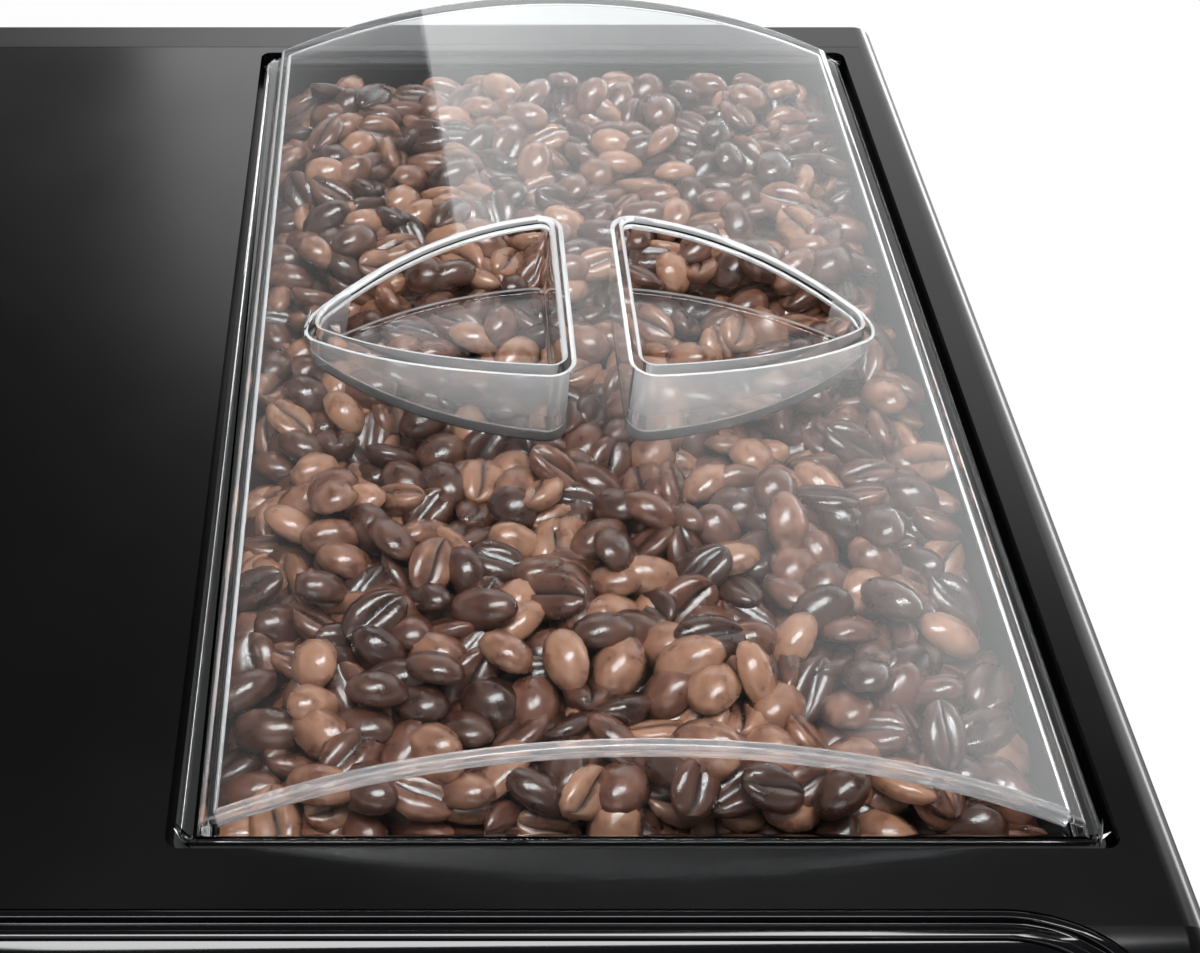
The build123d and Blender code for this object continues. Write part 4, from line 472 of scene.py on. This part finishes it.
# %% Bean filling tree
def filling_tree():
    """Fills a box between two corners with beans."""
    tree = bpy.data.node_groups.new("bean_filling", "GeometryNodeTree")
    for label, kind in (("Low Corner", "NodeSocketVector"), ("High Corner", "NodeSocketVector"),
                        ("Bean Length", "NodeSocketFloat"), ("Spacing", "NodeSocketFloat"),
                        ("Layers", "NodeSocketInt"), ("Seed", "NodeSocketInt"),
                        ("Bean", "NodeSocketObject"), ("Finish", "NodeSocketMaterial")):
        tree.interface.new_socket(name=label, in_out="INPUT", socket_type=kind)
    tree.interface.new_socket(name="Beans", in_out="OUTPUT", socket_type="NodeSocketGeometry")
    given = add(tree, "NodeGroupInput").outputs
    size = add(tree, "ShaderNodeVectorMath", {0: given["High Corner"], 1: given["Low Corner"]},
               operation="SUBTRACT")
    room = add(tree, "ShaderNodeSeparateXYZ", {0: size.outputs[0]})
    centre = add(tree, "ShaderNodeVectorMath", {0: given["High Corner"], 1: given["Low Corner"]},
                 operation="ADD")
    middle = add(tree, "ShaderNodeVectorMath", {0: centre.outputs[0], "Scale": 0.5}, operation="SCALE")
    mid = add(tree, "ShaderNodeSeparateXYZ", {0: middle.outputs[0]})
    low = add(tree, "ShaderNodeSeparateXYZ", {0: given["Low Corner"]})
    margin = add(tree, "ShaderNodeMath", {0: given["Bean Length"], 1: 0.62}, operation="MULTIPLY")
    wide = add(tree, "ShaderNodeMath", {0: room.outputs["X"], 1: margin.outputs[0]}, operation="SUBTRACT")
    deep = add(tree, "ShaderNodeMath", {0: room.outputs["Y"], 1: margin.outputs[0]}, operation="SUBTRACT")
    tall = add(tree, "ShaderNodeMath", {0: room.outputs["Z"], 1: margin.outputs[0]}, operation="SUBTRACT")
    sheet = add(tree, "GeometryNodeMeshGrid", {"Size X": wide.outputs[0], "Size Y": deep.outputs[0],
                                               "Vertices X": 2, "Vertices Y": 2})
    gaps = add(tree, "ShaderNodeMath", {0: given["Layers"], 1: 1.0}, operation="SUBTRACT")
    rise = add(tree, "ShaderNodeMath", {0: tall.outputs[0], 1: gaps.outputs[0]}, operation="DIVIDE")
    half = add(tree, "ShaderNodeMath", {0: margin.outputs[0], 1: 0.5}, operation="MULTIPLY")
    first = add(tree, "ShaderNodeMath", {0: low.outputs["Z"], 1: half.outputs[0]}, operation="ADD")
    start = add(tree, "ShaderNodeCombineXYZ", {
        0: mid.outputs["X"], 1: mid.outputs["Y"], 2: first.outputs[0]})
    step = add(tree, "ShaderNodeCombineXYZ", {2: rise.outputs[0]})
    stack = add(tree, "GeometryNodeMeshLine", {
        "Count": given["Layers"], "Start Location": start.outputs[0], "Offset": step.outputs[0]})
    layers = add(tree, "GeometryNodeInstanceOnPoints", {
        "Points": stack.outputs[0], "Instance": sheet.outputs[0]})
    real_layers = add(tree, "GeometryNodeRealizeInstances", {0: layers.outputs[0]})
    spread = add(tree, "GeometryNodeDistributePointsOnFaces", {
        "Mesh": real_layers.outputs[0], "Distance Min": given["Spacing"], "Density Max": 90000.0,
        "Seed": given["Seed"]}, distribute_method="POISSON")
    flip_pick = add(tree, "FunctionNodeRandomValue", {"Seed": given["Seed"]}, data_type="INT")
    flip_pick.inputs[4].default_value = 0
    flip_pick.inputs[5].default_value = 1
    flip = add(tree, "ShaderNodeMath", {0: flip_pick.outputs[2], 1: math.pi}, operation="MULTIPLY")
    flip_turn = add(tree, "ShaderNodeCombineXYZ", {0: flip.outputs[0]})
    seed_two = add(tree, "ShaderNodeMath", {0: given["Seed"], 1: 7.0}, operation="ADD")
    lie = add(tree, "FunctionNodeRandomValue", {"Seed": seed_two.outputs[0]}, data_type="FLOAT_VECTOR")
    lie.inputs[0].default_value = (-0.75, -0.55, 0.0)
    lie.inputs[1].default_value = (0.75, 0.55, 2 * math.pi)
    turn = add(tree, "ShaderNodeVectorMath", {0: lie.outputs[0], 1: flip_turn.outputs[0]}, operation="ADD")
    seed_three = add(tree, "ShaderNodeMath", {0: given["Seed"], 1: 13.0}, operation="ADD")
    grow = add(tree, "FunctionNodeRandomValue", {"Seed": seed_three.outputs[0]}, data_type="FLOAT_VECTOR")
    grow.inputs[0].default_value = (0.42, 0.44, 0.42)
    grow.inputs[1].default_value = (0.54, 0.56, 0.58)
    scale = add(tree, "ShaderNodeVectorMath", {0: grow.outputs[0], "Scale": given["Bean Length"]},
                operation="SCALE")
    source = add(tree, "GeometryNodeObjectInfo", {"Object": given["Bean"]})
    beans = add(tree, "GeometryNodeInstanceOnPoints", {
        "Points": spread.outputs["Points"], "Instance": source.outputs["Geometry"],
        "Rotation": turn.outputs[0], "Scale": scale.outputs[0]})
    seed_four = add(tree, "ShaderNodeMath", {0: given["Seed"], 1: 29.0}, operation="ADD")
    shade = add(tree, "FunctionNodeRandomValue", {"Seed": seed_four.outputs[0]}, data_type="FLOAT")
    toned = add(tree, "GeometryNodeStoreNamedAttribute", {
        "Geometry": beans.outputs[0], "Name": "roast_tone", "Value": shade.outputs[1]},
        data_type="FLOAT", domain="INSTANCE")
    real = add(tree, "GeometryNodeRealizeInstances", {0: toned.outputs[0]})
    place = add(tree, "GeometryNodeInputPosition")
    under = add(tree, "ShaderNodeVectorMath", {0: place.outputs[0], 1: given["High Corner"]},
                operation="MINIMUM")
    inside = add(tree, "ShaderNodeVectorMath", {0: under.outputs[0], 1: given["Low Corner"]},
                 operation="MAXIMUM")
    pressed = add(tree, "GeometryNodeSetPosition", {
        "Geometry": real.outputs[0], "Position": inside.outputs[0]})
    skinned = add(tree, "GeometryNodeSetMaterial", {
        "Geometry": pressed.outputs[0], "Material": given["Finish"]})
    add(tree, "NodeGroupOutput", {0: skinned.outputs[0]})
    return tree


filling = filling_tree()
print("filling tree nodes", len(filling.nodes))

# %% [markdown]
# ## Four fills
# The machine's hopper is filled twice over its whole mouth, with a top layer and a sparser one below it.
# Two heaps stand a few millimetres over the brim, in front of the finger pockets and behind them, because
# the pockets reach down to the beans. A falling simulation could heap them, but these boxes follow the
# hopper when its size changes.

# %% Fill the hopper
def grown(name, tree, values):
    """Runs a geometry tree on an empty mesh and gives back the plain mesh that it makes."""
    host = bpy.data.objects.new(name, bpy.data.meshes.new(name))
    bpy.context.scene.collection.objects.link(host)
    modifier = host.modifiers.new(name, "NODES")
    modifier.node_group = tree
    for item in tree.interface.items_tree:
        if item.item_type == "SOCKET" and item.in_out == "INPUT" and item.name in values:
            modifier[item.identifier] = values[item.name]
    bpy.context.view_layer.update()
    made = bpy.data.meshes.new_from_object(host.evaluated_get(bpy.context.evaluated_depsgraph_get()))
    host.modifiers.remove(modifier)
    host.data = made
    return host


bean_low, bean_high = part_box("coffee_beans")
reach = bean_high - bean_low
bean_length = 12.8 * mm
layer_count = 12
pile = []
# Each fill has the shares of the hopper's width and length where it starts and ends, its lowest and
# highest point from the brim in mm, the least distance between its points in mm, and its seed.
fills = (
    ("roasted_beans", (0.0, 1.0), (0.0, 1.0), (-13, 0), 5.9, 5),
    ("deep_beans", (0.0, 1.0), (0.0, 1.0), (-22, -5), 6.6, 8),
    ("front_heap", (0.09, 0.91), (0.015, 0.365), (-5, 6.5), 6.2, 3),
    ("rear_heap", (0.06, 0.94), (0.62, 0.985), (-5, 6.5), 6.2, 4),
)
for name, across, along, rise, spacing, seed in fills:
    beans = grown(name, filling, {
        "Low Corner": Vector((bean_low.x + across[0] * reach.x, bean_low.y + along[0] * reach.y,
                              bean_high.z + rise[0] * mm)),
        "High Corner": Vector((bean_low.x + across[1] * reach.x, bean_low.y + along[1] * reach.y,
                               bean_high.z + rise[1] * mm)),
        "Bean Length": bean_length, "Spacing": spacing * mm, "Layers": layer_count, "Seed": seed,
        "Bean": bean, "Finish": finish["roasted_bean"]})
    pile.append(beans)
    print("beans", len(beans.data.vertices) // len(bean.data.vertices), "faces", len(beans.data.polygons))

# %% [markdown]
# ## A bed under the beans
# Between the beans the eye looks down to more beans. A copy of the CAD fill, cut off 16 mm below the brim,
# closes that depth for far fewer faces than more beans. The helper that copies it serves the lid and the
# panel frame too.

# %% Bed under the beans
flat_turn = math.radians(0.4)
level_height = 0.01 * mm


def copied(node_name, name, weld=0.002):
    """A copy of a CAD node's mesh as a new object, for reshaping. Steps under weld mm are joined, flat
    stretches become one face, and level faces with hollows are cut into ones without."""
    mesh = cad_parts[node_name].data.copy()
    mesh.name = name
    shape = bmesh.new()
    shape.from_mesh(mesh)
    bmesh.ops.remove_doubles(shape, verts=shape.verts, dist=weld * mm)
    bmesh.ops.dissolve_limit(shape, angle_limit=flat_turn, verts=shape.verts, edges=shape.edges)
    level = []
    for face in shape.faces:
        heights = [vertex.co.z for vertex in face.verts]
        if max(heights) - min(heights) < level_height:
            level.append(face)
    bmesh.ops.connect_verts_concave(shape, faces=level)
    shape.to_mesh(mesh)
    shape.free()
    made = bpy.data.objects.new(name, mesh)
    bpy.context.scene.collection.objects.link(made)
    return made


bed = copied("coffee_beans", "bean_bed")
bed_depth = 16 * mm
bed_top = bean_high.z - bed_depth
for point in bed.data.vertices:
    point.co.z = min(point.co.z, bed_top)
bed.data.materials.clear()
bed.data.materials.append(finish["roasted_bean"])
for piece in (*pile, bed):
    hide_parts("coffee_beans")
    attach(piece, "machine")
print("bed top", round(bed_top, 4))


# %% [markdown]
# ## The clear lid
# An injection moulded lid has no sharp edge anywhere, and its edges are what the eye sees of it: each
# rounded edge bends the light of the bright horizon into a white line. So the lid is a copy of the CAD
# piece with every sharp edge rounded. A bevel modifier does that in one step. After it each corner takes
# the direction of its largest face, so that the rounding doesn't shade over the flat ones.

# %% Rounded copies
alike = 0.9  # least cosine between two faces that share a direction
arch_reach = 0.3 * mm
arch_facing = 0.98  # least cosine between an arch's facet and the arch
sharp_edge = math.radians(28)
weld_step = 0.1


def eased(made, arches=()):
    """Gives each corner of a mesh the direction of its largest face, or of a round form it lies on. Faces
    of the piece's own finish come before those of its rounded edges."""
    mesh = made.data
    shape = bmesh.new()
    shape.from_mesh(mesh)
    directions = []
    for vertex in shape.verts:
        faces = sorted(vertex.link_faces,
                       key=lambda face: (face.material_index, -face.calc_area()))
        lead = faces[0].normal
        total = Vector()
        for face in faces:
            if face.normal.dot(lead) > alike:
                total += face.normal * face.calc_area()
        for middle_x, middle_z, radius, sign in arches:
            radial = Vector((vertex.co.x - middle_x, 0.0, vertex.co.z - middle_z))
            near = abs(radial.length - radius) < arch_reach
            if near and lead.dot(radial) * sign > arch_facing * radial.length:
                total = radial * sign
        directions.append(total.normalized())
    shape.free()
    for polygon in mesh.polygons:
        polygon.use_smooth = True
    mesh.normals_split_custom_set_from_vertices(directions)


def rounded(node_name, name, radius, segments=3, arches=(), painted_edge_highlight=None):
    """A copy of a CAD node with its sharp edges rounded to a radius in mm, after welding tiny steps."""
    made = copied(node_name, name, weld_step)
    # The rounded edges can take a finish of their own in a second slot; here only the lid's painted
    # highlight.
    if painted_edge_highlight:
        made.data.materials.append(painted_edge_highlight)
    bevel = made.modifiers.new("edges", "BEVEL")
    bevel.width = radius * mm
    bevel.segments = segments
    bevel.limit_method = "ANGLE"
    bevel.angle_limit = sharp_edge
    bevel.use_clamp_overlap = False
    if painted_edge_highlight:
        bevel.material = 1
    bpy.context.view_layer.update()
    mesh = bpy.data.meshes.new_from_object(made.evaluated_get(bpy.context.evaluated_depsgraph_get()))
    made.modifiers.remove(bevel)
    made.data = mesh
    eased(made, arches)
    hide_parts(node_name)
    return made


# %% [markdown]
# ## Edges and arch of the lid
# The lid's roof is an arch in X, and its facets take the direction of the true arch, so that they mirror
# as one smooth sheet. More facets would do it too, at the cost of a heavier mesh. The rounded edges get a
# painted highlight as a finish of their own: a partly white, diffuse plastic that draws a bright line,
# clearer at the front arc and whiter towards the pockets. The flange and the front faces stay water clear.

# %% The lid
lid_low, lid_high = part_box("hopper_lid")
lid_middle = (lid_low.x + lid_high.x) / 2
lid_flange_width = 3.6 * mm
lid_rise = 17.2 * mm
lid_wall = 2.5 * mm


def arch(inset, sign):
    """Middle and radius of the lid's outer or inner arch."""
    span = (lid_high.x - lid_low.x) / 2 - lid_flange_width - inset
    rise = lid_rise - inset / 2
    radius = (span * span + rise * rise) / (2 * rise)
    return lid_middle, lid_high.z - inset - radius, radius, sign


# Painted highlight: the rounded edges are part white and diffuse, clearer at the front and whitest from 30
# mm behind it.
clear_edge_depth = 30 * mm
edge_highlight_paint, edge_tree, edge_shader = surface(
    "clear_plastic_painted_edge_highlight", Base_Color=colour("F4F6F8"), Roughness=0.18, IOR=1.49, Transmission_Weight=0.55)
edge_where = add(edge_tree, "ShaderNodeTexCoord").outputs["Object"]
edge_noise = add(edge_tree, "ShaderNodeTexNoise", {
    "Vector": edge_where, "Scale": 1 / (9 * mm), "Detail": 3.0})
edge_rough = add(edge_tree, "ShaderNodeMapRange", {
    "Value": edge_noise.outputs["Fac"], "To Min": 0.1, "To Max": 0.3})
edge_depth = add(edge_tree, "ShaderNodeSeparateXYZ", {0: edge_where})
edge_clear = add(edge_tree, "ShaderNodeMapRange", {
    "Value": edge_depth.outputs["Y"], "From Min": lid_low.y,
    "From Max": lid_low.y + clear_edge_depth, "To Min": 0.88, "To Max": 0.55})
edge_tree.links.new(edge_rough.outputs[0], edge_shader.inputs["Roughness"])
edge_tree.links.new(edge_clear.outputs[0], edge_shader.inputs["Transmission Weight"])
lid_arches = (arch(0.0, 1), arch(lid_wall, -1))
lid = rounded("hopper_lid", "clear_lid", 0.95, arches=lid_arches, painted_edge_highlight=edge_highlight_paint)
print("lid faces", len(lid.data.polygons), "arch radius", round(lid_arches[0][2], 4))

# %% [markdown]
# ## Which finish each face of the lid has
# The front walls of the finger pockets face the viewer and look pale on the real lid, so they get the
# plastic with painted milky light. A map could paint this, but the faces are easy to name by where they
# are and face.

# %% Faces of the lid
pocket_front = 30 * mm
pocket_back = 72 * mm
pocket_reach = 60 * mm
front_arc_depth = 6 * mm
flange_height = 2.7 * mm
lid.data.materials.append(pocket_wall)
for face in lid.data.polygons:
    across = abs(face.center.x - lid_middle)
    in_pockets = across < pocket_reach and pocket_front < face.center.y < pocket_back
    if in_pockets and face.material_index == 0 and face.normal.y < -0.3 and abs(face.normal.z) < 0.3:
        face.material_index = 2
    if face.center.z < lid_low.z + flange_height:
        face.material_index = 0
    if face.center.y < lid_low.y + front_arc_depth and face.normal.y < -0.4:
        face.material_index = 0
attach(lid, "lid")
print("milky faces", sum(face.material_index == 2 for face in lid.data.polygons))

# %% [markdown]
# ## Eased edges on the panel's frame
# The frame of the control panel has a small radius on every edge, and these catch the light as thin
# lines. The CAD could carry them, but they are looks and not fit, so they are rounded here.

# %% Panel frame
panel_frame = rounded("fascia_frame", "eased_fascia_frame", 0.3, segments=2)
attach(panel_frame, "machine")
print(panel_frame.name, len(panel_frame.data.polygons), "faces")
